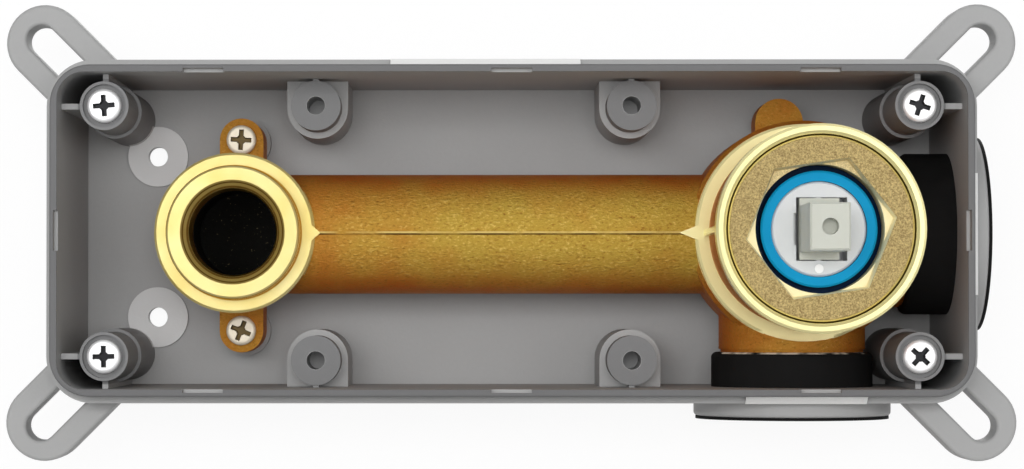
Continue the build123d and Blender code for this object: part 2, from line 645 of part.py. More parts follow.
    # Cartridge chamber with the nut's thread bored to its mouth
    with BuildSketch(level(CHAMBER_FLOOR)):
        with Locations((MIXER_X, 0)):
            Circle(CHAMBER_RADIUS)
    extrude(amount=MIXER_TOP - CHAMBER_FLOOR, mode=Mode.SUBTRACT)
    with BuildSketch(section(MIXER_X)):
        with BuildLine():
            Polyline(
                (0, THREAD_END),
                (NUT_RADIUS + THREAD_CLEARANCE, THREAD_END),
                (NUT_RADIUS + THREAD_CLEARANCE, MIXER_TOP - MOUTH_CHAMFER),
                (NUT_RADIUS + THREAD_CLEARANCE + MOUTH_CHAMFER, MIXER_TOP),
                (0, MIXER_TOP),
                close=True,
            )
        make_face()
    revolve(axis=depth_axis(MIXER_X), mode=Mode.SUBTRACT)
    with BuildSketch(level(CHAMBER_FLOOR)):
        with Locations(key_places):
            Circle(KEY_RADIUS + SEAT_CLEARANCE)
    extrude(amount=-KEY_LENGTH - LOOSE_CLEARANCE, mode=Mode.SUBTRACT)

    with BuildSketch(level(LUG_TOP)):
        with Locations((OUTLET_X, LUG_Z), (OUTLET_X, -LUG_Z)):
            Circle(LUG_HOLE_RADIUS)
    extrude(amount=LUG_PAD_TOP - LUG_TOP, mode=Mode.SUBTRACT)
valve_body.part.label = "valve_body"
export_step(valve_body.part, "parts/valve_body.step")


# Nut over the cartridge, turned by a hexagon socket in its face
with BuildPart() as cartridge_nut:
    with BuildSketch(section(MIXER_X)):
        with BuildLine():
            Polyline(
                (NUT_BORE_RADIUS, NUT_BOTTOM),
                (NUT_RADIUS, NUT_BOTTOM),
                (NUT_RADIUS, NUT_TOP - NUT_FACE_CHAMFER),
                (NUT_RADIUS - NUT_FACE_CHAMFER, NUT_TOP),
                (NUT_BORE_RADIUS, NUT_TOP),
                close=True,
            )
        make_face()
    revolve(axis=depth_axis(MIXER_X))
    with BuildSketch(level(NUT_TOP)):
        with Locations((MIXER_X, 0)):
            RegularPolygon(
                NUT_HEXAGON_FLATS / 2, 6, major_radius=False, rotation=NUT_HEXAGON_TURN
            )
    extrude(amount=-NUT_HEXAGON_DEPTH, taper=NUT_HEXAGON_DRAFT, mode=Mode.SUBTRACT)
cartridge_nut.part.label = "cartridge_nut"
export_step(cartridge_nut.part, "parts/cartridge_nut.step")

with BuildPart() as slip_ring:
    with BuildSketch(level(CAP_SHOULDER)):
        with Locations((MIXER_X, 0)):
            Circle(CARTRIDGE_RADIUS - LOOSE_CLEARANCE)
            Circle(NUT_BORE_RADIUS, mode=Mode.SUBTRACT)
    extrude(amount=SLIP_RING_THICKNESS)
slip_ring.part.label = "slip_ring"
export_step(slip_ring.part, "parts/slip_ring.step")

# Blue cap of the cartridge, a turned cup that holds the rotor by its flange
with BuildPart() as cartridge_cap:
    with BuildSketch(section(MIXER_X)):
        with BuildLine():
            Polyline(
                (CARTRIDGE_RADIUS - CAP_WALL, BASE_TOP),
                (CARTRIDGE_RADIUS, BASE_TOP),
                (CARTRIDGE_RADIUS, CAP_SHOULDER - MOULDED_EDGE),
                (CARTRIDGE_RADIUS - MOULDED_EDGE, CAP_SHOULDER),
                (CAP_NECK_RADIUS, CAP_SHOULDER),
                (CAP_NECK_RADIUS, CAP_TOP - MOULDED_EDGE),
                (CAP_NECK_RADIUS - MOULDED_EDGE, CAP_TOP),
                (ROTOR_RADIUS + RUNNING_CLEARANCE, CAP_TOP),
                (ROTOR_RADIUS + RUNNING_CLEARANCE, CAP_ROOF),
                (CARTRIDGE_RADIUS - CAP_WALL, CAP_ROOF),
                close=True,
            )
        make_face()
    revolve(axis=depth_axis(MIXER_X))
cartridge_cap.part.label = "cartridge_cap"
export_step(cartridge_cap.part, "parts/cartridge_cap.step")

# Foot of the cartridge, with three ports, seal seats and two keys in the chamber floor
with BuildPart() as cartridge_base:
    with BuildSketch(level(CHAMBER_FLOOR)):
        with Locations((MIXER_X, 0)):
            Circle(CARTRIDGE_RADIUS)
    extrude(amount=CARTRIDGE_BASE_THICKNESS)
    with BuildSketch(level(CHAMBER_FLOOR)):
        with Locations(key_places):
            Circle(KEY_RADIUS)
    extrude(amount=-KEY_LENGTH)
    for seat_height, seat_way in ((CHAMBER_FLOOR, 1), (BASE_TOP, -1)):
        with BuildSketch(level(seat_height)):
            with Locations(port_places):
                Circle(SEAL_OUTER_RADIUS)
        extrude(amount=seat_way * SEAL_SECTION, mode=Mode.SUBTRACT)
    with BuildSketch(level(CHAMBER_FLOOR)):
        with Locations(port_places):
            Circle(DISC_PORT_RADIUS)
    extrude(amount=CARTRIDGE_BASE_THICKNESS, mode=Mode.SUBTRACT)
cartridge_base.part.label = "cartridge_base"
export_step(cartridge_base.part, "parts/cartridge_base.step")

# Rubber seals under and over the three ports of the base
for seal_name, seal_height in (
    ("base_seals", CHAMBER_FLOOR),
    ("disc_seals", BASE_TOP - SEAL_SECTION),
):
    with BuildPart() as seals:
        with BuildSketch(level(seal_height)):
            with Locations(port_places):
                Circle(SEAL_OUTER_RADIUS - SEAT_CLEARANCE)
                Circle(DISC_PORT_RADIUS, mode=Mode.SUBTRACT)
        extrude(amount=SEAL_SECTION)
    seals.part.label = seal_name
    export_step(seals.part, "parts/" + seal_name + ".step")

# Lower ceramic disc, fixed, with a port over each seal and two key flats
with BuildPart() as fixed_disc:
    with BuildSketch(level(BASE_TOP)):
        with Locations((MIXER_X, 0)):
            Circle(CARTRIDGE_RADIUS - CAP_WALL - LOOSE_CLEARANCE)
            Rectangle(2 * CARTRIDGE_RADIUS, FIXED_DISC_FLATS, mode=Mode.INTERSECT)
        with Locations(port_places):
            Circle(DISC_PORT_RADIUS, mode=Mode.SUBTRACT)
    extrude(amount=DISC_THICKNESS)
fixed_disc.part.label = "fixed_disc"
export_step(fixed_disc.part, "parts/fixed_disc.step")

# Upper ceramic disc, with a blind mixing pocket in its underside
with BuildPart() as moving_disc:
    with BuildSketch(level(FIXED_DISC_TOP)):
        with Locations((MIXER_X, 0)):
            Circle(COUPLER_RADIUS)
    extrude(amount=DISC_THICKNESS)
    with BuildSketch(level(FIXED_DISC_TOP)):
        with Locations((MIXER_X - MIXING_POCKET_SHIFT, 0)):
            Ellipse(MIXING_POCKET_LENGTH / 2, MIXING_POCKET_WIDTH / 2)
    extrude(amount=DISC_THICKNESS / 2, mode=Mode.SUBTRACT)
moving_disc.part.label = "moving_disc"
export_step(moving_disc.part, "parts/moving_disc.step")

# Carrier that the lever's ball pushes, guided between two bars of the rotor
with BuildPart() as disc_coupler:
    with BuildSketch(level(MOVING_DISC_TOP)):
        with Locations((MIXER_X, 0)):
            Circle(COUPLER_RADIUS)
            Rectangle(2 * COUPLER_RADIUS, COUPLER_FLATS, mode=Mode.INTERSECT)
    extrude(amount=COUPLER_THICKNESS)
    with BuildSketch(level(COUPLER_TOP)):
        with Locations((MIXER_X, 0)):
            Circle(BALL_RADIUS + BALL_CLEARANCE)
    extrude(amount=-(COUPLER_TOP - BALL_HEIGHT + BALL_RADIUS + LOOSE_CLEARANCE), mode=Mode.SUBTRACT)
    pocket_edges = disc_coupler.edges().filter_by(GeomType.CIRCLE).group_by(Axis.Y)[0]
    chamfer(pocket_edges.sort_by(SortBy.RADIUS)[0], MOULDED_EDGE)
disc_coupler.part.label = "disc_coupler"
export_step(disc_coupler.part, "parts/disc_coupler.step")

# Rotor, with the lever's window, a flange under the cap and two guide bars
with BuildPart() as rotor:
    with BuildSketch(section(MIXER_X)):
        with BuildLine():
            Polyline(
                (0, ROTOR_FLANGE_BOTTOM),
                (ROTOR_FLANGE_RADIUS, ROTOR_FLANGE_BOTTOM),
                (ROTOR_FLANGE_RADIUS, ROTOR_FLANGE_TOP),
                (ROTOR_RADIUS, ROTOR_FLANGE_TOP),
                (ROTOR_RADIUS, ROTOR_TOP - MOULDED_EDGE),
                (ROTOR_RADIUS - MOULDED_EDGE, ROTOR_TOP),
                (0, ROTOR_TOP),
                close=True,
            )
        make_face()
    revolve(axis=depth_axis(MIXER_X))
    with BuildSketch(level(ROTOR_FLANGE_BOTTOM)):
        guide_z = COUPLER_FLATS / 2 + RUNNING_CLEARANCE + GUIDE_THICKNESS / 2
        with Locations((MIXER_X, guide_z), (MIXER_X, -guide_z)):
            Rectangle(GUIDE_LENGTH, GUIDE_THICKNESS)
    extrude(amount=-GUIDE_DROP)
    window_x = MIXER_X + (WINDOW_RIGHT - WINDOW_LEFT) / 2
    with BuildSketch(level(ROTOR_TOP)):
        with Locations((window_x, 0)):
            Rectangle(WINDOW_LEFT + WINDOW_RIGHT, WINDOW_HEIGHT)
    extrude(amount=-(ROTOR_TOP - ROTOR_FLANGE_BOTTOM), mode=Mode.SUBTRACT)
    with BuildSketch(level(ROTOR_TOP)):
        with Locations((MIXER_X - WINDOW_LEFT, 0)):
            Rectangle(2 * WINDOW_NOTCH, WINDOW_NOTCH_HEIGHT)
    extrude(amount=-PIVOT_SINK, mode=Mode.SUBTRACT)
    with BuildSketch(level(ROTOR_FLANGE_BOTTOM)):
        with Locations((MIXER_X - WINDOW_LEFT, 0)):
            Rectangle(2 * BALL_RELIEF, 2 * (BALL_RADIUS + BALL_RELIEF))
    extrude(amount=BALL_RELIEF, mode=Mode.SUBTRACT)
    with BuildSketch(level(ROTOR_TOP)):
        with Locations((MIXER_X, MARK_PIP_Z)):
            Circle(MARK_PIP_RADIUS)
    extrude(amount=MARK_PIP_HEIGHT)
    with BuildSketch(Plane.XY.offset(-PIN_LENGTH / 2)):
        with Locations((MIXER_X, -PIVOT_HEIGHT)):
            Circle(PIN_RADIUS + SEAT_CLEARANCE)
    extrude(amount=PIN_LENGTH, mode=Mode.SUBTRACT)
rotor.part.label = "rotor"
export_step(rotor.part, "parts/rotor.step")

with BuildPart() as stem_pin:
    with BuildSketch(Plane.XY.offset(-PIN_LENGTH / 2)):
        with Locations((MIXER_X, -PIVOT_HEIGHT)):
            Circle(PIN_RADIUS)
    extrude(amount=PIN_LENGTH)
stem_pin.part.label = "stem_pin"
export_step(stem_pin.part, "parts/stem_pin.step")

# Lever stem: a square end for the handle, a wider root on the pin, and a ball below
with BuildPart() as stem:
    with BuildSketch(level(PIVOT_HEIGHT)):
        with Locations((MIXER_X, 0)):
            Rectangle(STEM_WIDTH, STEM_HEIGHT)
    extrude(amount=ROTOR_TOP + STEM_REACH - PIVOT_HEIGHT)
    chamfer(stem.faces().sort_by(Axis.Y)[0].edges(), MOULDED_EDGE)
    with BuildSketch(level(PIVOT_HEIGHT - PIN_RADIUS)):
        with Locations((MIXER_X, 0)):
            Rectangle(STEM_WIDTH, STEM_ROOT_HEIGHT)
    extrude(amount=PIN_RADIUS + PIVOT_SINK + STEM_ROOT_RISE)
    with BuildSketch(section(MIXER_X)):
        with BuildLine():
            Polyline(
                (0, BALL_HEIGHT),
                (ARM_NECK_RADIUS, BALL_HEIGHT),
                (ARM_NECK_RADIUS, COUPLER_TOP),
                (ARM_WIDTH, COUPLER_TOP + ARM_WIDTH),
                (ARM_WIDTH, PIVOT_HEIGHT),
                (0, PIVOT_HEIGHT),
                close=True,
            )
        make_face()
    revolve(axis=depth_axis(MIXER_X))
    with Locations((MIXER_X, -BALL_HEIGHT, 0)):
        Sphere(BALL_RADIUS)
    with BuildSketch(Plane.XY.offset(-STEM_ROOT_HEIGHT / 2)):
        with Locations((MIXER_X, -PIVOT_HEIGHT)):
            Circle(PIN_RADIUS + RUNNING_CLEARANCE)
    extrude(amount=STEM_ROOT_HEIGHT, mode=Mode.SUBTRACT)
    with BuildSketch(level(ROTOR_TOP + STEM_REACH)):
        with Locations((MIXER_X, 0)):
            Circle(STEM_CORE_RADIUS)
    extrude(amount=-STEM_CORE_DEPTH, mode=Mode.SUBTRACT)
stem.part.label = "stem"
export_step(stem.part, "parts/stem.step")

# Trim screws parked in the corner bosses, and the two screws through the outlet lugs
for screw_name, screw_places, seat_height, head_radius, head_height, shank_length in (
    (
        "corner_screws",
        list(zip(corners(CORNER_BOSS_X, CORNER_BOSS_Z), CORNER_SCREW_TURNS)),
        CORNER_BOSS_TOP - CORNER_SEAT_DEPTH,
        CORNER_HEAD_RADIUS,
        CORNER_HEAD_HEIGHT,
        CORNER_SHANK_LENGTH,
    ),
    (
        "body_screws",
        list(zip([(OUTLET_X, LUG_Z), (OUTLET_X, -LUG_Z)], LUG_SCREW_TURNS)),
        LUG_TOP,
        LUG_HEAD_RADIUS,
        LUG_HEAD_HEIGHT,
        LUG_SHANK_LENGTH,
    ),
):
    with BuildPart() as screws:
        for screw_place, screw_turn in screw_places:
            with BuildSketch(level(seat_height)):
                with Locations(screw_place):
                    Circle(head_radius)
            extrude(amount=head_height)
        fillet(screws.faces().sort_by(Axis.Y)[: len(screw_places)].edges(), HEAD_ROUND)
        for screw_place, screw_turn in screw_places:
            with BuildSketch(level(seat_height - shank_length)):
                with Locations(screw_place):
                    Circle(SCREW_SHANK_RADIUS)
            extrude(amount=shank_length)
            with BuildSketch(level(seat_height + head_height)):
                with Locations(screw_place):
                    Rectangle(RECESS_SPAN, RECESS_SLOT, rotation=screw_turn)
                    Rectangle(RECESS_SLOT, RECESS_SPAN, rotation=screw_turn)
                    Circle(RECESS_SLOT)
            extrude(amount=-RECESS_DEPTH, taper=RECESS_DRAFT, mode=Mode.SUBTRACT)
    screws.part.label = screw_name
    export_step(screws.part, "parts/" + screw_name + ".step")

# Rubber sleeves round the inlets, and the plastic rings that clamp them outside the box
for side, plane, place, inner_wall, outer_wall, reach in (
    (
        "cold",
        Plane.YZ,
        (-WATERWAY_HEIGHT, 0),
        CAVITY_WIDTH / 2,
        WALL_WIDTH / 2,
        COLD_SLEEVE_REACH,
    ),
    (
        "hot",
        -Plane.XY,
        (HOT_INLET_X, WATERWAY_HEIGHT),
        CAVITY_HEIGHT / 2,
        WALL_OUTER_HEIGHT / 2,
        HOT_SLEEVE_REACH,
    ),
):
    outward = Axis(plane.origin, plane.z_dir)
    sleeve_start = inner_wall - reach
    sleeve_end = outer_wall + RING_THICKNESS
    with BuildPart() as sleeve:
        with BuildSketch(plane.offset(sleeve_start)):
            with Locations(place):
                Circle(SLEEVE_RADIUS)
        extrude(amount=sleeve_end - sleeve_start)
        fillet(sleeve.edges().filter_by(GeomType.CIRCLE).sort_by(outward)[0], SLEEVE_ROUND)
        with BuildSketch(plane.offset(sleeve_end)):
            with Locations(place):
                Circle(SLEEVE_LIP_RADIUS)
        extrude(amount=SLEEVE_LIP_THICKNESS)
        with BuildSketch(plane.offset(sleeve_start)):
            with Locations(place):
                Circle(INLET_SPIGOT_RADIUS + SEAT_CLEARANCE)
        extrude(amount=sleeve_end + SLEEVE_LIP_THICKNESS - sleeve_start, mode=Mode.SUBTRACT)
    sleeve.part.label = side + "_sleeve"
    export_step(sleeve.part, "parts/" + side + "_sleeve.step")

    with BuildPart() as clamp_ring:
        with BuildSketch(plane.offset(outer_wall)):
            with Locations(place):
                Circle(RING_RADIUS)
        extrude(amount=RING_THICKNESS)
        fillet(clamp_ring.edges().filter_by(GeomType.CIRCLE).sort_by(outward)[-1], RING_ROUND)
        with BuildSketch(plane.offset(outer_wall)):
            with Locations(place):
                Circle(SLEEVE_RADIUS + SLEEVE_CLEARANCE)
        extrude(amount=RING_THICKNESS, mode=Mode.SUBTRACT)
    clamp_ring.part.label = side + "_ring"
    export_step(clamp_ring.part, "parts/" + side + "_ring.step")
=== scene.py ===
# %% [markdown]
# The body of a basin faucet that is buried in the wall, dressed for a studio picture.
# The solids come packed in one frame, in metres: X to the right, Z up, and Y into the wall.
# A piece's height means its distance in front of the box's back face, which is minus Y.

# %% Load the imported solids
from math import pi, radians

import bmesh
import bpy
from mathutils import Matrix, Vector


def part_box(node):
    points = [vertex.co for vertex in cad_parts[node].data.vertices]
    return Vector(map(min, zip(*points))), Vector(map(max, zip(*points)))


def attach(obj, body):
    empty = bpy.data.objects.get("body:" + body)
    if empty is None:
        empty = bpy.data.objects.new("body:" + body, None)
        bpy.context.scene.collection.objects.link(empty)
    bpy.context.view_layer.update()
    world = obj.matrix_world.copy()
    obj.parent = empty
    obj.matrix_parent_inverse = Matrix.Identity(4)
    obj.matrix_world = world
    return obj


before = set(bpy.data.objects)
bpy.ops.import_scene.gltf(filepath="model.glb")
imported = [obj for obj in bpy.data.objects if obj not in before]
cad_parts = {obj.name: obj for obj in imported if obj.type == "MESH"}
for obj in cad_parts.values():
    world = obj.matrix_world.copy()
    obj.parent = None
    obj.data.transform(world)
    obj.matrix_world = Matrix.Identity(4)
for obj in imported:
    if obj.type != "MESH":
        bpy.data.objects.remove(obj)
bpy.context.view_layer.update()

MM = 0.001
scene = bpy.context.scene
scene.view_settings.view_transform = "Standard"

# %% [markdown]
# Two axes place nearly everything here: the outlet's on the left and the mixer's on the right.
# They are read from the solids, so that the looks follow the part if its sizes change.

# %% Axes and faces read from the frame
def middle(node):
    """Centre of a solid's box."""
    low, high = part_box(node)
    return (low + high) / 2


box_low, box_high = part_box("box_shell")
body_low, body_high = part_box("valve_body")
screw_low, screw_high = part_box("body_screws")
mixer_x = middle("cartridge_nut").x
outlet_x = (screw_low.x + screw_high.x) / 2
hot_x = middle("hot_ring").x
waterway_y = middle("cold_ring").y
nut_top = -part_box("cartridge_nut")[0].y
rim_height = -box_low.y
print("outlet to mixer, mm:", round((mixer_x - outlet_x) / MM, 1))

# %% [markdown]
# The camera stands about 70 cm in front, a little left of the middle and a little low.
# Its lens and the place of its optical axis in the picture were worked out from circles
# at known heights, such as the two bright rings of the mixer, which slide against each other.
# A small lens shift puts the optical axis where it is without turning the camera.

# %% The camera
PICTURE_WIDTH, PICTURE_HEIGHT = 1024, 469
FOCAL_PIXELS = 3177.7
OPTICAL_AXIS = (440.5, 266.9)
CAMERA_PLACE = Vector((-9.1, -708.0, -17.4)) * MM
CAMERA_PITCH = 0.874
CAMERA_YAW = 0.484
SENSOR_WIDTH = 36.0

camera_data = bpy.data.cameras.new("camera")
camera_data.sensor_width = SENSOR_WIDTH
camera_data.lens = FOCAL_PIXELS * SENSOR_WIDTH / PICTURE_WIDTH
camera_data.shift_x = (PICTURE_WIDTH / 2 - OPTICAL_AXIS[0]) / PICTURE_WIDTH
camera_data.shift_y = (OPTICAL_AXIS[1] - PICTURE_HEIGHT / 2) / PICTURE_WIDTH
camera = bpy.data.objects.new("camera", camera_data)
camera.location = CAMERA_PLACE
camera.rotation_euler = (radians(90 + CAMERA_PITCH), 0, radians(CAMERA_YAW))
scene.collection.objects.link(camera)
scene.camera = camera
print("lens, mm:", round(camera_data.lens, 1))

# %% [markdown]
# Materials are node trees, and small helpers keep them readable. The first adds a node with its
# settings and inputs, where an input is a value or a link from another node's output.
# The others mix two colours, blend two numbers, calculate, and turn a range into a ramp.

# %% Node helpers
def add(tree, kind, settings=None, inputs=None):
    """New node with its settings, and its inputs as values or links."""
    new = tree.nodes.new(kind)
    for key, value in (settings or {}).items():
        setattr(new, key, value)
    for key, value in (inputs or {}).items():
        if isinstance(value, bpy.types.NodeSocket):
            tree.links.new(value, new.inputs[key])
        else:
            new.inputs[key].default_value = value
    return new


def mix(tree, share, first, second):
    """Colour between two colours, each a value or a link."""
    settings = {"data_type": "RGBA", "clamp_factor": True}
    return add(tree, "ShaderNodeMix", settings, {0: share, 6: first, 7: second}).outputs[2]


def blend(tree, share, first, second):
    """Number between two numbers, each a value or a link."""
    return add(tree, "ShaderNodeMix", None, {0: share, 2: first, 3: second}).outputs[0]


def compute(tree, operation, first, second=0.0):
    """One sum, product or comparison."""
    return add(tree, "ShaderNodeMath", {"operation": operation}, {0: first, 1: second}).outputs[0]


def fade(tree, value, start, end):
    """0 at start and 1 at end, with a straight ramp between."""
    inputs = {"Value": value, "From Min": start, "From Max": end}
    return add(tree, "ShaderNodeMapRange", None, inputs).outputs["Result"]


# %% [markdown]
# Every pattern reads Object coordinates, in metres, so it stays on its piece when the piece
# moves. Cloudy noise gives a finish its uneven colour, and a bump gives it fine relief.
# A plain value, such as a roughness, is set on the shader's own socket.

# %% Patterns and materials
def place(tree):
    """The point on the piece, in metres."""
    return add(tree, "ShaderNodeTexCoord").outputs["Object"]


def noise(tree, point, size, detail=2.0, roughness=0.5):
    """Cloudy pattern from 0 to 1 whose patches are about size metres wide."""
    inputs = {"Vector": point, "Scale": 1 / size, "Detail": detail, "Roughness": roughness}
    return add(tree, "ShaderNodeTexNoise", None, inputs).outputs["Fac"]


def bump(tree, height, depth, strength=1.0):
    """Small relief, depth metres high."""
    inputs = {"Height": height, "Distance": depth, "Strength": strength}
    return add(tree, "ShaderNodeBump", None, inputs).outputs["Normal"]


def new_material(name, **values):
    """Material with its Principled shader's plain values set on the shader's own sockets."""
    material = bpy.data.materials.new(name)
    material.use_nodes = True
    shader = material.node_tree.nodes["Principled BSDF"]
    for key, value in values.items():
        shader.inputs[key.replace("_", " ").title().replace("Ior", "IOR")].default_value = value
    return material, material.node_tree, shader


def connect(tree, output, shader, socket):
    """Links a node's output to a named socket of the shader."""
    tree.links.new(output, shader.inputs[socket])


def dress(material, *nodes):
    """Puts the material on every slot of the named solids."""
    for name in nodes:
        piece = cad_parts[name]
        for slot in piece.material_slots:
            slot.material = material
        if not piece.material_slots:
            piece.data.materials.append(material)
    print(material.name, "on", ", ".join(nodes))


# %% [markdown]
# Several finishes change at a known place, such as a turned ring or a boss. A mask says where:
# it is 1 inside a range of heights or distances and 0 outside, with a short ramp between.
# A range that has no upper end runs to a metre, which is beyond every piece.

# %% Masks from heights and distances
MASK_EDGE = 0.05 * MM
BEYOND = 1.0


def coordinate(tree, point, axis):
    """One coordinate of a point or a direction."""
    return add(tree, "ShaderNodeSeparateXYZ", None, {0: point}).outputs[axis]


def height_of(tree, point):
    """Height in front of the back face."""
    return compute(tree, "MULTIPLY", coordinate(tree, point, "Y"), -1.0)


def radius_from(tree, point, x):
    """Distance from the axis that goes into the wall at x."""
    moved = add(tree, "ShaderNodeVectorMath", {"operation": "SUBTRACT"}, {0: point, 1: (x, 0, 0)})
    flat = add(tree, "ShaderNodeVectorMath", {"operation": "MULTIPLY"}, {0: moved.outputs[0], 1: (1, 0, 1)})
    return add(tree, "ShaderNodeVectorMath", {"operation": "LENGTH"}, {0: flat.outputs[0]}).outputs["Value"]


def both(tree, first, second):
    """Where two masks are both 1."""
    return compute(tree, "MULTIPLY", first, second)


def either(tree, first, second):
    """Where one of two masks is 1."""
    return compute(tree, "MAXIMUM", first, second)


def inside(tree, value, low, high, soft=MASK_EDGE):
    """1 between low and high."""
    above = fade(tree, value, low - soft, low + soft)
    below = fade(tree, value, high + soft, high - soft)
    return both(tree, above, below)


def within(tree, distance, radius, height, low, high=BEYOND):
    """1 within a radius and between two heights."""
    return both(tree, inside(tree, distance, -MM, radius), inside(tree, height, low, high))


def spread(tree, point, centre_x, apart_x, apart_z):
    """Distance from the nearest of four places, apart_x and apart_z either side of the centre."""
    off_x = compute(tree, "ABSOLUTE", compute(tree, "SUBTRACT", coordinate(tree, point, "X"), centre_x))
    off_x = compute(tree, "POWER", compute(tree, "SUBTRACT", off_x, apart_x), 2)
    off_z = compute(tree, "ABSOLUTE", coordinate(tree, point, "Z"))
    off_z = compute(tree, "POWER", compute(tree, "SUBTRACT", off_z, apart_z), 2)
    return compute(tree, "SQRT", compute(tree, "ADD", off_x, off_z))


# %% [markdown]
# The wall box is moulded in grey plastic. Moulded plastic is never one flat grey: flow marks
# make it cloudy over a few centimetres, and the mould's fine spark-eroded grain breaks the gloss.
# Cloudy noise in the colour does the first, and a very fine bump does the second.
# The screw bosses are darker. The face of the rim is darker too, as painted shade. The holes in the side
# bosses and the pads on the floor are paler, as painted light.

# %% Grey moulded plastic
FLOW_MARK = 30 * MM
SPECK_SIZE = 0.9 * MM
SPECK_SHARE = 0.16
MOULD_GRAIN = 0.6 * MM
MOULD_GRAIN_DEPTH = 0.03 * MM
MOULD_ROUGHNESS = (0.385, 0.769)
GREY_DEEP = (0.345, 0.345, 0.345, 1)
GREY_PALE = (0.405, 0.405, 0.402, 1)
GREY_SPECK = (0.27, 0.27, 0.27, 1)
GREY_CORNER_BOSS = (0.20, 0.20, 0.202, 1)
GREY_SIDE_BOSS = (0.19, 0.19, 0.192, 1)
GREY_HOLE_PAINTED_LIGHT = (0.42, 0.42, 0.42, 1)
GREY_RIM_PAINTED_SHADE = (0.145, 0.145, 0.147, 1)
GREY_PAD_PAINTED_LIGHT = (0.64, 0.64, 0.638, 1)

ABOVE_FLOOR = 3.5 * MM
CORNER_SCREW_HEAD = 3.55 * MM
CORNER_BOSS_RADIUS = 5.8 * MM
SIDE_BOSS_CENTRE = -7.75 * MM
SIDE_BOSS_APART = (33.35 * MM, 26.9 * MM)
SIDE_BOSS_RADIUS = 5.35 * MM
SIDE_BOSS_BACK = 29.5 * MM
SIDE_HOLE_RADIUS = 2.0 * MM
PAD_X = -77.7 * MM
PAD_Z = 17.8 * MM
PAD_RADIUS = 6.7 * MM
RIM_EDGE = 0.7 * MM
corner_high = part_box("corner_screws")[1]
corner_apart = (corner_high.x - CORNER_SCREW_HEAD, corner_high.z - CORNER_SCREW_HEAD)


def moulded_grey():
    """Cloudy grey with darker bosses, painted shade on the rim, and painted light in the side holes and on
    the pads.
    """
    material, tree, shader = new_material("moulded_grey", specular_ior_level=0.35)
    point = place(tree)
    height = height_of(tree, point)
    cloud = noise(tree, point, FLOW_MARK, detail=3.0)
    speck = compute(tree, "MULTIPLY", noise(tree, point, SPECK_SIZE), SPECK_SHARE)
    colour = mix(tree, cloud, GREY_DEEP, GREY_PALE)
    colour = mix(tree, speck, colour, GREY_SPECK)

    from_corner = spread(tree, point, 0.0, *corner_apart)
    from_side = spread(tree, point, SIDE_BOSS_CENTRE, *SIDE_BOSS_APART)
    from_pad = spread(tree, point, PAD_X, 0.0, PAD_Z)
    near_corner = within(tree, from_corner, CORNER_BOSS_RADIUS, height, ABOVE_FLOOR)
    near_side = within(tree, from_side, SIDE_BOSS_RADIUS, height, SIDE_BOSS_BACK)
    in_hole = within(tree, from_side, SIDE_HOLE_RADIUS, height, ABOVE_FLOOR)
    on_rim = fade(tree, height, rim_height - RIM_EDGE, rim_height - RIM_EDGE / 2)
    on_pad = within(tree, from_pad, PAD_RADIUS, height, ABOVE_FLOOR, 2 * ABOVE_FLOOR)
    colour = mix(tree, near_corner, colour, GREY_CORNER_BOSS)
    colour = mix(tree, near_side, colour, GREY_SIDE_BOSS)
    # Painted light lifts the holes in the side bosses.
    colour = mix(tree, in_hole, colour, GREY_HOLE_PAINTED_LIGHT)
    # Painted shade darkens the face of the rim.
    colour = mix(tree, on_rim, colour, GREY_RIM_PAINTED_SHADE)
    # Painted light makes the raised pads on the floor paler.
    colour = mix(tree, on_pad, colour, GREY_PAD_PAINTED_LIGHT)

    connect(tree, colour, shader, "Base Color")
    connect(tree, blend(tree, cloud, *MOULD_ROUGHNESS), shader, "Roughness")
    connect(tree, bump(tree, noise(tree, point, MOULD_GRAIN), MOULD_GRAIN_DEPTH), shader, "Normal")
    return material


dress(moulded_grey(), "box_shell", "hot_ring", "cold_ring")


# %% [markdown]
# The brass body is one sand casting. Its skin is orange brown and keeps the sand's grain, with a painted
# golden sheen where it faces out of the wall and painted glints on the grain's high points. Turning on a
# lathe then bared pale, shiny brass on the outlet's collar and flange and on the two rings of the mixer
# barrel.
# One material holds both finishes, and masks made from the distance to an axis and from the
# height choose between them, because the real body is one piece too.

# %% Where the lathe bared the casting
FLANGE_BACK = 35.2 * MM
FLANGE_RADIUS = 17.0 * MM
FLANGE_POINT_FACE = 39.1 * MM
SHOULDER_BACK = 37.2 * MM
SHOULDER_TOP = 39.8 * MM
SHOULDER_RADIUS = 23.0 * MM
SHOULDER_POINT_FACE = 39.2 * MM
FRONT_RING_BACK = 67.0 * MM
POINT_REACH = 4.0 * MM
POINT_HALF = 1.7 * MM
FIN_HALF = 0.65 * MM
FIN_RADIUS = 21.3 * MM


def turned_mask(tree, point, height, from_outlet, from_mixer):
    """1 on the turned faces, with the points of flash that the lathe cut flat as well."""
    level_z = compute(tree, "ABSOLUTE", coordinate(tree, point, "Z"))
    mask = 0.0
    for distance, radius, low, high, half_width in (
        (from_outlet, FLANGE_RADIUS, FLANGE_BACK, BEYOND, BEYOND),
        (from_outlet, FLANGE_RADIUS + POINT_REACH, FLANGE_POINT_FACE, BEYOND, POINT_HALF),
        (from_mixer, SHOULDER_RADIUS, SHOULDER_BACK, SHOULDER_TOP, BEYOND),
        (from_mixer, SHOULDER_RADIUS + POINT_REACH, SHOULDER_POINT_FACE, SHOULDER_TOP, POINT_HALF),
        (from_mixer, FIN_RADIUS, SHOULDER_TOP - MM, BEYOND, FIN_HALF),
        (from_mixer, SHOULDER_RADIUS, FRONT_RING_BACK, BEYOND, BEYOND),
    ):
        here = within(tree, distance, radius, height, low, high)
        mask = either(tree, mask, both(tree, here, inside(tree, level_z, -MM, half_width)))
    return mask
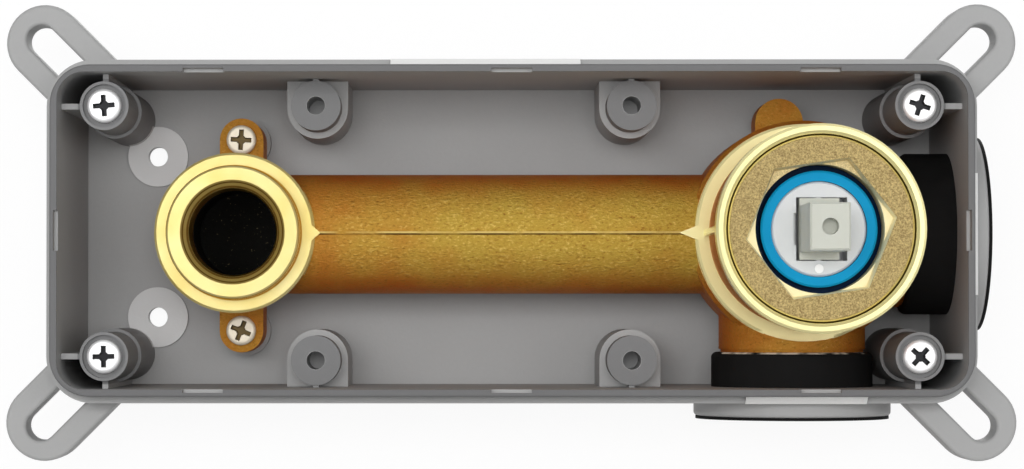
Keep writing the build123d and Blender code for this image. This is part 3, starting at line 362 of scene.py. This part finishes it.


# %% [markdown]
# The tube gets a painted golden sheen where it faces out of the wall, most of all on its crown. Geometry's
# Normal finds the crown, because there the surface faces straight out of the wall, and noise breaks the
# crown's edge. Pits of the grain stay dark, and its highest points get painted glints.
# The line where the two halves of the mould met runs along the tube, with a painted highlight above it and
# painted shade below it.

# %% Skin of the casting
CAST_PATCH = 7 * MM
CAST_BROWN = (0.60, 0.145, 0.011, 1)
CAST_SHEEN_GOLD = (0.63, 0.41, 0.060, 1)
CAST_PIT = (0.36, 0.13, 0.011, 1)
CAST_GLINT = (0.90, 0.66, 0.17, 1)
SEAM_HIGHLIGHT = (0.86, 0.66, 0.22, 1)
SEAM_SHADE = (0.12, 0.055, 0.008, 1)
SEAM_LINES = (
    (-0.08 * MM, 0.3 * MM, SEAM_HIGHLIGHT),
    (-0.42 * MM, -0.1 * MM, SEAM_SHADE),
)
TUBE_CROWN = 38.6 * MM
CROWN_START = (18 * MM, 50 * MM)
CROWN_HALF = (13 * MM, 8.5 * MM)
CROWN_FACING = (0.35, 0.98)
CROWN_SHARE = (0.412, 1.0)
SHEEN_BY_PATCH = (0.917, 0.083)
SHEEN_BY_GRAIN = (0.833, 0.167)
GOLD_SHEEN = (0.85, 1.95)
GLINT_SHEEN = (0.9, 1.9)
GLINT_GRAIN = (0.55, 0.70)
PIT_GRAIN = (0.45, 0.27)
SEAM_BREAK = (0.3, 0.55)


def cast_colour(tree, point, height, grain):
    """Colour of the casting's skin with its painted sheen, and the mask of its painted glints."""
    level_z = coordinate(tree, point, "Z")
    patch = noise(tree, point, CAST_PATCH, detail=3.0)
    # Painted sheen: surfaces that face out of the wall turn golden, most on the tube's crown, broken up by
    # patches and grain.
    normal = add(tree, "ShaderNodeNewGeometry").outputs["Normal"]
    facing = fade(tree, compute(tree, "MULTIPLY", coordinate(tree, normal, "Y"), -1.0), *CROWN_FACING)
    along = fade(tree, coordinate(tree, point, "X"), outlet_x + CROWN_START[0], outlet_x + CROWN_START[1])
    on_tube = both(tree, along, fade(tree, compute(tree, "ABSOLUTE", level_z), *CROWN_HALF))
    painted_sheen = both(tree, facing, blend(tree, on_tube, *CROWN_SHARE))
    painted_sheen = compute(tree, "ADD", painted_sheen, blend(tree, patch, *SHEEN_BY_PATCH))
    painted_sheen = compute(tree, "ADD", painted_sheen, blend(tree, grain, *SHEEN_BY_GRAIN))
    colour = mix(tree, fade(tree, painted_sheen, *GOLD_SHEEN), CAST_BROWN, CAST_SHEEN_GOLD)
    colour = mix(tree, fade(tree, grain, *PIT_GRAIN), colour, CAST_PIT)
    # Painted glints on the grain's high points where the painted sheen is strong; points holds this mask.
    points = both(tree, fade(tree, grain, *GLINT_GRAIN), fade(tree, painted_sheen, *GLINT_SHEEN))
    colour = mix(tree, points, colour, CAST_GLINT)

    # Along the crown the seam gets a painted highlight above and painted shade below.
    on_crown = inside(tree, height, TUBE_CROWN, TUBE_CROWN + MM)
    broken = both(tree, on_crown, fade(tree, patch, *SEAM_BREAK))
    for low, high, shade in SEAM_LINES:
        colour = mix(tree, both(tree, broken, inside(tree, level_z, low, high)), colour, shade)
    return colour, points


# %% [markdown]
# The turned brass is a pale gold, and paler still on the mixer's rings. Inside the outlet's mouth it is
# tarnished, with two fine dark rings of painted shade, and the bore behind is painted black as shade, with
# a few dim specks. A ring of painted shade also runs round the foot of the collar.
# The shoulder ring is less metallic than the rest, which keeps it pale and even.
# The grain of the sand is stretched a little along the tube.

# %% Cast and turned brass
CAST_GRAIN = 0.5 * MM
CAST_RELIEF = 0.45 * MM
GRAIN_STRETCH = (0.6, 1.0, 1.0)
LATHE_PATCH = 11 * MM
LATHE_MARK = 0.25 * MM
LATHE_MARK_SHARE = 0.03
LATHE_CONTRAST = (0.3, 0.7)
TURNED_GOLD = (0.90, 0.72, 0.24, 1)
TURNED_PALE = (0.97, 0.84, 0.38, 1)
TURNED_MIXER = (0.99, 0.90, 0.45, 1)
MIXER_REACH = 30 * MM
BODY_METALLIC = (0.6, 0.249)
CAST_ROUGHNESS = (0.548, 0.31)
TURNED_ROUGHNESS = 0.24
RELIEF_STRENGTH = 0.8

OUTLET_COLLAR_TOP = 44.9 * MM
COLLAR_FOOT = (13.85 * MM, 14.3 * MM)
COLLAR_FOOT_SHADE = (0.50, 0.25, 0.02, 1)
MOUTH_BACK = 42.0 * MM
MOUTH_RADII = (9.0 * MM, 10.9 * MM)
MOUTH_OLIVE = (0.46, 0.34, 0.10, 1)
MOUTH_LINES = ((9.35 * MM, 9.75 * MM), (10.35 * MM, 10.62 * MM))
MOUTH_LINE_EDGE = 0.04 * MM
MOUTH_LINE_SHADE = (0.16, 0.085, 0.012, 1)
BORE_RADIUS = 9.6 * MM
BORE_SHADE = (39.5 * MM, 36.5 * MM)
BORE_SHADE_BLACK = (0.003, 0.003, 0.002, 1)
BORE_SPECK = 0.6 * MM
BORE_SPECK_CONTRAST = (0.66, 0.74)
BORE_SPECK_GOLD = (0.16, 0.13, 0.07, 1)


def outlet_mouth_colour(tree, point, height, from_outlet, colour):
    """The given colour with the outlet's tarnished mouth, its two rings of painted shade, painted shade at
    the collar's foot, and its bore painted black as shade.
    """
    in_mouth = inside(tree, height, MOUTH_BACK - MM, OUTLET_COLLAR_TOP - MASK_EDGE)
    colour = mix(tree, both(tree, in_mouth, inside(tree, from_outlet, *MOUTH_RADII)), colour, MOUTH_OLIVE)
    at_lines = inside(tree, height, MOUTH_BACK, BEYOND)
    # Two fine rings of painted shade in the mouth.
    for low, high in MOUTH_LINES:
        line = both(tree, at_lines, inside(tree, from_outlet, low, high, MOUTH_LINE_EDGE))
        colour = mix(tree, line, colour, MOUTH_LINE_SHADE)
    # Painted shade in the groove at the foot of the collar.
    colour = mix(tree, inside(tree, from_outlet, *COLLAR_FOOT), colour, COLLAR_FOOT_SHADE)

    # Painted shade: the deep bore is coloured black, with a few dim specks.
    in_bore = both(tree, inside(tree, from_outlet, -MM, BORE_RADIUS), fade(tree, height, *BORE_SHADE))
    speck = fade(tree, noise(tree, point, BORE_SPECK, detail=3.0), *BORE_SPECK_CONTRAST)
    return mix(tree, in_bore, colour, mix(tree, speck, BORE_SHADE_BLACK, BORE_SPECK_GOLD))


def body_brass():
    """Sand-cast skin with turned faces."""
    material, tree, shader = new_material("body_brass")
    point = place(tree)
    height = height_of(tree, point)
    from_outlet = radius_from(tree, point, outlet_x)
    from_mixer = radius_from(tree, point, mixer_x)
    machined = turned_mask(tree, point, height, from_outlet, from_mixer)
    settings = {"operation": "MULTIPLY"}
    streaked = add(tree, "ShaderNodeVectorMath", settings, {0: point, 1: GRAIN_STRETCH}).outputs[0]
    grain = noise(tree, streaked, CAST_GRAIN, detail=4.0, roughness=0.65)
    cast, points = cast_colour(tree, point, height, grain)

    lathe = fade(tree, noise(tree, point, LATHE_PATCH), *LATHE_CONTRAST)
    at_mixer = inside(tree, from_mixer, -MM, MIXER_REACH)
    turned = mix(tree, lathe, TURNED_GOLD, TURNED_PALE)
    turned = mix(tree, at_mixer, turned, TURNED_MIXER)
    colour = mix(tree, machined, cast, turned)
    colour = outlet_mouth_colour(tree, point, height, from_outlet, colour)
    connect(tree, colour, shader, "Base Color")

    shoulder = within(tree, from_mixer, MIXER_REACH, height, SHOULDER_BACK - MM, SHOULDER_TOP)
    connect(tree, blend(tree, both(tree, machined, shoulder), *BODY_METALLIC), shader, "Metallic")
    cast_rough = blend(tree, points, *CAST_ROUGHNESS)
    connect(tree, blend(tree, machined, cast_rough, TURNED_ROUGHNESS), shader, "Roughness")
    lathe_marks = compute(tree, "MULTIPLY", noise(tree, point, LATHE_MARK), LATHE_MARK_SHARE)
    relief = blend(tree, machined, grain, lathe_marks)
    connect(tree, bump(tree, relief, CAST_RELIEF, RELIEF_STRENGTH), shader, "Normal")
    return material


dress(body_brass(), "valve_body")


# %% [markdown]
# The nut was forged, so its face is a dull, speckled brown grey, while its chamfered edge was cut and
# shines. The height tells the face from the rest. The socket for the hexagon key is pale and dull in its
# lower corners, and painted shade makes it nearly as brown as the face in its upper ones.
# A dark line runs round the nut's rim.

# %% Nut with a grainy face
NUT_FACE_EDGE = (0.12 * MM, 0.04 * MM)
NUT_DARK_RIM = (18.68 * MM, 20 * MM)
NUT_CLOUD = 5 * MM
NUT_SPECK = 0.34 * MM
NUT_SPECK_DEPTH = 0.2 * MM
NUT_BROWN = (0.30, 0.20, 0.075, 1)
NUT_DULL_GOLD = (0.80, 0.63, 0.28, 1)
NUT_GOLD = (0.88, 0.70, 0.25, 1)
NUT_PALE_GOLD = (0.96, 0.86, 0.46, 1)
NUT_LINE_BROWN = (0.085, 0.062, 0.008, 1)
NUT_SPECK_CONTRAST = (0.36, 0.66)
NUT_SPECK_STRENGTH = 0.7
NUT_ROUGHNESS = (0.249, 0.55)
NUT_METALLIC = (0.698, 0.248)
SOCKET_PALE = (0.97, 0.86, 0.52, 1)
SOCKET_RADIUS = 17 * MM
SOCKET_SHADE_Z = (4 * MM, 8 * MM)
SOCKET_SHADE_SHARE = 0.75


def nut_brass():
    """Speckled face, bright edge and dull socket, with painted shade in the socket's upper corners."""
    material, tree, shader = new_material("nut_brass")
    point = place(tree)
    from_axis = radius_from(tree, point, mixer_x)
    face = fade(tree, height_of(tree, point), nut_top - NUT_FACE_EDGE[0], nut_top - NUT_FACE_EDGE[1])
    socket = fade(tree, from_axis, SOCKET_RADIUS, SOCKET_RADIUS - MM)
    # Painted shade: the socket's upper corners are mixed towards the dull brown of the face.
    upper = fade(tree, coordinate(tree, point, "Z"), *SOCKET_SHADE_Z)
    upper = compute(tree, "MULTIPLY", upper, SOCKET_SHADE_SHARE)
    speck = noise(tree, point, NUT_SPECK, detail=4.0, roughness=0.75)
    dull = mix(tree, fade(tree, speck, *NUT_SPECK_CONTRAST), NUT_BROWN, NUT_DULL_GOLD)
    cut = mix(tree, noise(tree, point, NUT_CLOUD), NUT_GOLD, NUT_PALE_GOLD)
    cut = mix(tree, inside(tree, from_axis, *NUT_DARK_RIM), cut, NUT_LINE_BROWN)
    cut = mix(tree, socket, cut, SOCKET_PALE)
    cut = mix(tree, both(tree, socket, upper), cut, dull)
    connect(tree, mix(tree, face, cut, dull), shader, "Base Color")

    sunk_socket = both(tree, socket, compute(tree, "SUBTRACT", 1.0, face))
    connect(tree, blend(tree, either(tree, face, socket), *NUT_ROUGHNESS), shader, "Roughness")
    connect(tree, blend(tree, sunk_socket, *NUT_METALLIC), shader, "Metallic")
    relief = bump(tree, both(tree, face, speck), NUT_SPECK_DEPTH, NUT_SPECK_STRENGTH)
    connect(tree, relief, shader, "Normal")
    return material


dress(nut_brass(), "cartridge_nut")


# %% [markdown]
# The cartridge is plastic: a blue cap with a navy neck, a milky white rotor and a slightly warmer stem. The
# navy of the neck and of the slip ring round it is painted shade in the gap inside the nut's bore, and the
# inner grey of the base and coupler is lightened as painted light against the shade deep in the window.
# White plastic lets a little light in, so shadows in its window stay soft. A light subsurface weight does
# that, with a radius of a millimetre or so.
# The navy of the cap's neck, which is painted shade, and the painted highlight on the rotor's small pip are
# told from the rest by their height.

# %% Cartridge plastics
SUBSURFACE_RADIUS = (1.0, 0.9, 0.8)
SUBSURFACE_DEPTH = 1.2 * MM
PLASTIC_RIPPLE = 0.8 * MM
PLASTIC_RIPPLE_DEPTH = 0.02 * MM
NAVY_SHADES = ((0.001, 0.010, 0.032, 1), (0.001, 0.006, 0.022, 1))
BLUE_SHADES = ((0.004, 0.30, 0.56, 1), (0.003, 0.25, 0.50, 1))
WHITE_SHADES = ((0.685, 0.70, 0.705, 1), (0.64, 0.655, 0.665, 1))
WARM_SHADES = ((0.555, 0.565, 0.50, 1), (0.51, 0.52, 0.46, 1))
INNER_LIGHTENED_SHADES = ((0.56, 0.57, 0.58, 1), (0.48, 0.49, 0.50, 1))
CERAMIC_SHADES = ((0.80, 0.79, 0.76, 1), (0.74, 0.73, 0.70, 1))
NECK_SHADE_NAVY = (0.001, 0.012, 0.04, 1)
PIP_HIGHLIGHT = (0.93, 0.93, 0.93, 1)
cap_top = -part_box("cartridge_cap")[0].y
pip_top = -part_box("rotor")[0].y
# Painted shade: below its top the cap's neck is navy, as in the gap inside the nut's bore.
neck_shade_step = (cap_top - 0.55 * MM, cap_top - 0.75 * MM, NECK_SHADE_NAVY)
# Painted highlight: the top of the rotor's pip is whiter than the rotor.
pip_highlight_step = (pip_top - 0.25 * MM, pip_top - 0.12 * MM, PIP_HIGHLIGHT)


def smooth_plastic(name, shades, roughness, cloud_size, subsurface=0.0, gloss=0.5, step=None):
    """Plastic in a light and a dark shade, with another colour past a step in height, used for painted
    shade on the cap's neck and a painted highlight on the rotor's pip.
    """
    material, tree, shader = new_material(
        name,
        roughness=roughness,
        specular_ior_level=gloss,
        subsurface_weight=subsurface,
        subsurface_radius=SUBSURFACE_RADIUS,
        subsurface_scale=SUBSURFACE_DEPTH,
    )
    point = place(tree)
    light, dark = shades
    colour = mix(tree, noise(tree, point, cloud_size), dark, light)
    if step:
        start, end, other = step
        colour = mix(tree, fade(tree, height_of(tree, point), start, end), colour, other)
    connect(tree, colour, shader, "Base Color")
    connect(tree, bump(tree, noise(tree, point, PLASTIC_RIPPLE), PLASTIC_RIPPLE_DEPTH), shader, "Normal")
    return material


# The navy of the slip ring is painted shade for the gap round the cap's neck.
navy = smooth_plastic("navy_shade_plastic", NAVY_SHADES, 0.45, 6 * MM, gloss=0.15)
blue = smooth_plastic("blue_plastic", BLUE_SHADES, 0.45, 6 * MM, gloss=0.12, step=neck_shade_step)
white = smooth_plastic("white_plastic", WHITE_SHADES, 0.4, 5 * MM, subsurface=0.2, step=pip_highlight_step)
warm_white = smooth_plastic("warm_white", WARM_SHADES, 0.35, 4 * MM, subsurface=0.3)
# Painted light: the inner grey is made pale against the shade deep in the window.
inner_lightened_grey = smooth_plastic("inner_lightened_grey", INNER_LIGHTENED_SHADES, 0.45, 6 * MM)
pale_ceramic = smooth_plastic("pale_ceramic", CERAMIC_SHADES, 0.12, 8 * MM)
dress(blue, "cartridge_cap")
dress(white, "rotor")
dress(navy, "slip_ring")
dress(warm_white, "stem")
dress(inner_lightened_grey, "cartridge_base", "disc_coupler")
dress(pale_ceramic, "moving_disc", "fixed_disc")


# %% [markdown]
# Rubber is nearly black, dull and slightly dusty. The hot sleeve's upper edge gets a painted highlight in
# places, so a mask finds that edge and noise breaks it up.

# %% Rubber
DUST_SIZE = 4 * MM
RUBBER_BLACK = (0.004, 0.004, 0.004, 1)
RUBBER_DUST = (0.012, 0.012, 0.012, 1)
RUBBER_EDGE_HIGHLIGHT = (0.72, 0.66, 0.55, 1)
HIGHLIGHT_PATCH = 3 * MM
HIGHLIGHT_CONTRAST = (0.38, 0.6)
RUBBER_GRAIN = 0.5 * MM
RUBBER_GRAIN_DEPTH = 0.03 * MM
RUBBER_ROUGHNESS = (0.545, 1.0)
SLEEVE_EDGE = 0.35 * MM
SLEEVE_HALF = 15.5 * MM
hot_sleeve_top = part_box("hot_sleeve")[1].z


def black_rubber():
    """Dusty black, with a painted highlight along the hot sleeve's upper edge."""
    material, tree, shader = new_material("black_rubber", specular_ior_level=0.15)
    point = place(tree)
    dust = noise(tree, point, DUST_SIZE, detail=4.0)
    at_top = inside(tree, coordinate(tree, point, "Z"), hot_sleeve_top - SLEEVE_EDGE, hot_sleeve_top + MM)
    at_hot = inside(tree, coordinate(tree, point, "X"), hot_x - SLEEVE_HALF, hot_x + SLEEVE_HALF)
    broken = fade(tree, noise(tree, point, HIGHLIGHT_PATCH), *HIGHLIGHT_CONTRAST)
    # Painted highlight along the hot sleeve's upper edge, broken up by noise.
    edge_highlight = both(tree, both(tree, at_top, at_hot), broken)
    colour = mix(tree, dust, RUBBER_BLACK, RUBBER_DUST)
    connect(tree, mix(tree, edge_highlight, colour, RUBBER_EDGE_HIGHLIGHT), shader, "Base Color")
    connect(tree, blend(tree, dust, *RUBBER_ROUGHNESS), shader, "Roughness")
    connect(tree, bump(tree, noise(tree, point, RUBBER_GRAIN), RUBBER_GRAIN_DEPTH), shader, "Normal")
    return material


dress(black_rubber(), "hot_sleeve", "cold_sleeve", "disc_seals", "base_seals")


# %% [markdown]
# The screws are plated steel: the corner ones are bright, and the two on the lugs have a warm, yellow
# passivation. Their cross recesses get painted shade, by a mask made from the distance to the screw's axis
# and from the height.

# %% Plated steel
RECESS_RADIUS = 2.6 * MM
RECESS_EDGE = 0.12 * MM
LUG_SCREW_HEAD = 3.2 * MM
PLATE_CLOUD = 1.5 * MM
STEEL_GRAIN = 0.3 * MM
STEEL_GRAIN_DEPTH = 0.01 * MM
BRIGHT_SHADES = ((0.98, 0.98, 0.98, 1), (0.93, 0.93, 0.94, 1))
YELLOW_SHADES = ((0.96, 0.88, 0.74, 1), (0.88, 0.78, 0.60, 1))
GROUND_SHADES = ((0.62, 0.62, 0.62, 1), (0.52, 0.52, 0.53, 1))
CORNER_CROSS_SHADE = (0.012, 0.012, 0.014, 1)
LUG_CROSS_SHADE = (0.13, 0.085, 0.025, 1)


def recess(tree, point, node, centre_x, head_radius):
    """1 in the cross recesses of a group of screws that lie evenly about centre_x and z = 0."""
    low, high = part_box(node)
    away = spread(tree, point, centre_x, high.x - head_radius - centre_x, high.z - head_radius)
    sunk = fade(tree, height_of(tree, point), -low.y - RECESS_EDGE, -low.y - 3 * RECESS_EDGE)
    return both(tree, sunk, fade(tree, away, RECESS_RADIUS + RECESS_EDGE, RECESS_RADIUS))


def plated_steel(name, shades, roughness, metallic=1.0, cross=None):
    """Steel in a light and a dark shade, with painted shade in the recesses of a group of screws."""
    material, tree, shader = new_material(name, metallic=metallic, roughness=roughness)
    point = place(tree)
    light, dark = shades
    colour = mix(tree, noise(tree, point, PLATE_CLOUD, detail=3.0), dark, light)
    if cross:
        shade, *group = cross
        # Painted shade in the cross recesses.
        colour = mix(tree, recess(tree, point, *group), colour, shade)
    connect(tree, colour, shader, "Base Color")
    connect(tree, bump(tree, noise(tree, point, STEEL_GRAIN), STEEL_GRAIN_DEPTH), shader, "Normal")
    return material


corner_cross = (CORNER_CROSS_SHADE, "corner_screws", 0.0, CORNER_SCREW_HEAD)
lug_cross = (LUG_CROSS_SHADE, "body_screws", outlet_x, LUG_SCREW_HEAD)
dress(plated_steel("bright_plate", BRIGHT_SHADES, 0.3, 0.5, corner_cross), "corner_screws")
dress(plated_steel("yellow_plate", YELLOW_SHADES, 0.4, 0.35, lug_cross), "body_screws")
dress(plated_steel("ground_steel", GROUND_SHADES, 0.3), "stem_pin")

# %% [markdown]
# New pieces start as a bmesh and become a mesh object that rides on a body of the part.
# Their place is in the mesh, with the object left at the origin, as for the solids.

# %% Making a piece
MERGE_DISTANCE = 0.001 * MM


def make_piece(shape, name, material, body):
    """Turns a bmesh into a piece of the part."""
    bmesh.ops.remove_doubles(shape, verts=shape.verts, dist=MERGE_DISTANCE)
    bmesh.ops.recalc_face_normals(shape, faces=shape.faces)
    mesh = bpy.data.meshes.new(name)
    shape.to_mesh(mesh)
    shape.free()
    mesh.materials.append(material)
    piece = bpy.data.objects.new(name, mesh)
    scene.collection.objects.link(piece)
    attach(piece, body)
    print(name, "faces:", len(mesh.polygons))


# %% [markdown]
# The outlet and the two inlets are threaded inside. The solids stop at the thread's crests,
# so here a fine spiral ridge stands for what the eye sees in the bore. A small triangle is
# spun round the axis while it moves along it, which is what a lathe's tool does.

# %% Threads
THREAD_PITCH = 1.814 * MM
THREAD_RADIUS = 9.315 * MM
RIDGE_DEPTH = 0.35 * MM
RIDGE_ROOT = 0.05 * MM
RIDGE_HALF = 0.42 * THREAD_PITCH
STEPS_PER_TURN = 72
OUTLET_TURNS = 4
INLET_TURNS = 5
MOUTH_DEPTH = 2.6 * MM
THREAD_CLOUD = 3 * MM
THREAD_SHADES = ((0.62, 0.42, 0.13, 1), (0.85, 0.64, 0.26, 1))


def thread_brass():
    """Bright brass of a cut thread."""
    material, tree, shader = new_material("turned_brass", metallic=1.0, roughness=0.28)
    point = place(tree)
    connect(tree, mix(tree, noise(tree, point, THREAD_CLOUD), *THREAD_SHADES), shader, "Base Color")
    connect(tree, bump(tree, noise(tree, point, STEEL_GRAIN), STEEL_GRAIN_DEPTH), shader, "Normal")
    return material


turned_brass = thread_brass()


def thread(name, mouth, inward, turns):
    """Spiral ridge in a bore, from its mouth inwards."""
    shape = bmesh.new()
    side = inward.orthogonal().normalized()
    base = mouth + side * (THREAD_RADIUS + RIDGE_ROOT)
    corners = [
        base - inward * RIDGE_HALF,
        base - side * (RIDGE_DEPTH + RIDGE_ROOT),
        base + inward * RIDGE_HALF,
    ]
    profile = shape.faces.new([shape.verts.new(corner) for corner in corners])
    bmesh.ops.spin(
        shape,
        geom=list(profile.edges),
        cent=mouth,
        axis=inward,
        dvec=inward * THREAD_PITCH / STEPS_PER_TURN,
        angle=2 * pi * turns,
        steps=STEPS_PER_TURN * turns,
        use_merge=False,
    )
    open_edges = [edge for edge in shape.edges if edge.is_boundary]
    bmesh.ops.holes_fill(shape, edges=open_edges, sides=3)
    make_piece(shape, name, turned_brass, "wall_body")


outlet_mouth = Vector((outlet_x, -(OUTLET_COLLAR_TOP - MOUTH_DEPTH), 0))
cold_mouth = Vector((body_high.x - MOUTH_DEPTH, waterway_y, 0))
hot_mouth = Vector((hot_x, waterway_y, body_low.z + MOUTH_DEPTH))
thread("outlet_thread", outlet_mouth, Vector((0, 1, 0)), OUTLET_TURNS)
thread("cold_thread", cold_mouth, Vector((-1, 0, 0)), INLET_TURNS)
thread("hot_thread", hot_mouth, Vector((0, 0, 1)), INLET_TURNS)

# %% [markdown]
# Three white paper stickers are wrapped over the step behind the rim. They are left bare here.
# From the front only the slanting part over the step shows, as a thin white strip.
# Each is a flat outline, moved along the wall and given its thickness.

# %% Bare stickers over the step
STEP_WIDTH = 1.5 * MM
STEP_HEIGHT = 50.5 * MM
STICKER_PROUD = 0.12 * MM
STICKER_THICKNESS = 0.1 * MM
SLANT_RISE = 1.6 * STEP_WIDTH
FRONT_RISE = 2.6 * STEP_WIDTH
FIBRE_SIZE = 0.4 * MM
FIBRE_DEPTH = 0.01 * MM
PAPER_SHADES = ((0.80, 0.80, 0.79, 1), (0.90, 0.90, 0.89, 1))


def paper():
    """White paper with a faint fibre."""
    material, tree, shader = new_material("label_paper", roughness=0.55)
    fibre = noise(tree, place(tree), FIBRE_SIZE, detail=4.0)
    connect(tree, mix(tree, fibre, *PAPER_SHADES), shader, "Base Color")
    connect(tree, bump(tree, fibre, FIBRE_DEPTH), shader, "Normal")
    return material


label_paper = paper()


def sticker(name, along, span_mm, outward, wall, reach):
    """Sticker over a span of a wall, wrapped over the step."""
    start, end = along * span_mm[0] * MM, along * span_mm[1] * MM
    lip = wall - STEP_WIDTH
    profile = [
        (wall + STICKER_PROUD, STEP_HEIGHT - reach),
        (wall + STICKER_PROUD, STEP_HEIGHT + STICKER_PROUD),
        (lip + STICKER_PROUD, STEP_HEIGHT + SLANT_RISE),
        (lip + STICKER_PROUD, STEP_HEIGHT + FRONT_RISE),
    ]
    shape = bmesh.new()
    points = [shape.verts.new(start + outward * out + Vector((0, -height, 0))) for out, height in profile]
    edges = [shape.edges.new(pair) for pair in zip(points, points[1:])]
    swept = bmesh.ops.extrude_edge_only(shape, edges=edges)
    moved = [item for item in swept["geom"] if isinstance(item, bmesh.types.BMVert)]
    bmesh.ops.translate(shape, verts=moved, vec=end - start)
    bmesh.ops.recalc_face_normals(shape, faces=shape.faces)
    bmesh.ops.solidify(shape, geom=shape.faces[:], thickness=STICKER_THICKNESS)
    make_piece(shape, name, label_paper, "wall_body")


RING_TO_WALL = 1.6 * MM
TOP_SPAN_MM = (-25.0, 14.3)
HOT_SPAN_MM = (48.3, 73.4)
COLD_SPAN_MM = (-13.2, 12.0)
LONG_REACH = 9 * MM
SHORT_REACH = 0.3 * MM
to_right = Vector((1, 0, 0))
upwards = Vector((0, 0, 1))
wall_x = middle("cold_ring").x - RING_TO_WALL
wall_z = -(middle("hot_ring").z + RING_TO_WALL)
sticker("top_sticker", to_right, TOP_SPAN_MM, upwards, wall_z, LONG_REACH)
sticker("hot_sticker", to_right, HOT_SPAN_MM, -upwards, wall_z, SHORT_REACH)
sticker("cold_sticker", upwards, COLD_SPAN_MM, to_right, wall_x, SHORT_REACH)

# %% [markdown]
# The object hangs in front of a plain white surface, over a pale floor that the camera misses.
# The white surface is seen only from its front, so that the back of the box can be viewed.
# Part of its white is its own light, so that shadows on it stay faint, as in a studio picture.

# %% Backdrop and floor
BACKDROP_SIZE = 1.2
BACKDROP_GAP = 2 * MM
BACKDROP_WHITE = (0.95, 0.95, 0.95, 1)
BACKDROP_GLOW_SHARE = 0.9
FLOOR_SIZE = 3.0
FLOOR_DROP = 18 * MM
FLOOR_WHITE = (0.80, 0.80, 0.80, 1)


def backdrop_white():
    """White that glows and is seen only from its front, by the eye and by reflections."""
    material = bpy.data.materials.new("backdrop_white")
    material.use_nodes = True
    tree = material.node_tree
    tree.nodes.clear()
    plain = add(tree, "ShaderNodeBsdfDiffuse", None, {"Color": BACKDROP_WHITE}).outputs[0]
    glow = add(tree, "ShaderNodeEmission", None, {"Color": (1, 1, 1, 1), "Strength": 1.0}).outputs[0]
    lit = add(tree, "ShaderNodeMixShader", None, {0: BACKDROP_GLOW_SHARE, 1: plain, 2: glow}).outputs[0]
    path = add(tree, "ShaderNodeLightPath")
    seen = either(tree, path.outputs["Is Camera Ray"], path.outputs["Is Glossy Ray"])
    seen = either(tree, seen, path.outputs["Is Transmission Ray"])
    front = compute(tree, "SUBTRACT", 1.0, add(tree, "ShaderNodeNewGeometry").outputs["Backfacing"])
    clear = add(tree, "ShaderNodeBsdfTransparent").outputs[0]
    shown = add(tree, "ShaderNodeMixShader", None, {0: both(tree, seen, front), 1: clear, 2: lit})
    output = add(tree, "ShaderNodeOutputMaterial")
    tree.links.new(shown.outputs[0], output.inputs["Surface"])
    return material


def stage_plane(name, size, matrix, material):
    """Square plane of the studio, which is no part of the object."""
    shape = bmesh.new()
    bmesh.ops.create_grid(shape, x_segments=1, y_segments=1, size=size, matrix=matrix)
    mesh = bpy.data.meshes.new(name)
    shape.to_mesh(mesh)
    shape.free()
    mesh.materials.append(material)
    plane = bpy.data.objects.new(name, mesh)
    scene.collection.objects.link(plane)


floor_material = new_material("pale_floor", base_color=FLOOR_WHITE, roughness=0.8)[0]
behind_box = Matrix.Translation((0, box_high.y + BACKDROP_GAP, 0)) @ Matrix.Rotation(radians(90), 4, "X")
under_box = Matrix.Translation((0, 0, box_low.z - FLOOR_DROP))
stage_plane("backdrop", BACKDROP_SIZE, behind_box, backdrop_white())
stage_plane("floor", FLOOR_SIZE, under_box, floor_material)

# %% [markdown]
# A broad lamp behind the camera lights the inside of the box evenly. It is left out of
# reflections, as otherwise the flat brass faces and the screws would mirror it as a white patch.
# A lamp up on the left throws the bosses' shade to the lower right, one on the right fills,
# and one behind lights the back.

# %% Lamps
def soft_lamp(name, place_mm, size_mm, watts, in_reflections=True):
    """Square lamp that looks at the origin."""
    lamp_data = bpy.data.lights.new(name, "AREA")
    lamp_data.size = size_mm * MM
    lamp_data.energy = watts
    lamp = bpy.data.objects.new(name, lamp_data)
    lamp.location = Vector(place_mm) * MM
    lamp.rotation_euler = (-lamp.location).to_track_quat("-Z", "Y").to_euler()
    lamp.visible_glossy = in_reflections
    scene.collection.objects.link(lamp)


soft_lamp("front_lamp", (-60, -1150, 20), size_mm=420, watts=7.5, in_reflections=False)
soft_lamp("key_lamp", (-430, -1100, 170), size_mm=340, watts=1.6)
soft_lamp("fill_lamp", (440, -1080, 80), size_mm=400, watts=1.3)
soft_lamp("back_lamp", (300, 900, 700), size_mm=700, watts=6.0)

# %% [markdown]
# The surroundings are brighter in front and behind than at the sides, which gives the brass its
# light middle and dark edges. The camera itself sees an even, nearly white surround.

# %% Surroundings
SIDE_GLOW = 0.38
FRONT_GLOW = 0.62
SURROUND_WHITE = (0.93, 0.93, 0.93, 1)

world = bpy.data.worlds.new("studio")
world.use_nodes = True
scene.world = world
sky = world.node_tree
sky.nodes.clear()
direction = add(sky, "ShaderNodeTexCoord").outputs["Generated"]
depth_share = compute(sky, "ABSOLUTE", coordinate(sky, direction, "Y"))
extra_glow = compute(sky, "MULTIPLY", compute(sky, "POWER", depth_share, 2.0), FRONT_GLOW)
glow_level = compute(sky, "ADD", extra_glow, SIDE_GLOW)
surround = add(sky, "ShaderNodeBackground", None, {"Strength": glow_level}).outputs[0]
even_white = add(sky, "ShaderNodeBackground", None, {"Color": SURROUND_WHITE, "Strength": 1.0}).outputs[0]
camera_ray = add(sky, "ShaderNodeLightPath").outputs["Is Camera Ray"]
sky_mix = add(sky, "ShaderNodeMixShader", None, {0: camera_ray, 1: surround, 2: even_white})
sky_output = add(sky, "ShaderNodeOutputWorld")
sky.links.new(sky_mix.outputs[0], sky_output.inputs["Surface"])
print("glow at the sides:", SIDE_GLOW, "in front and behind:", SIDE_GLOW + FRONT_GLOW)
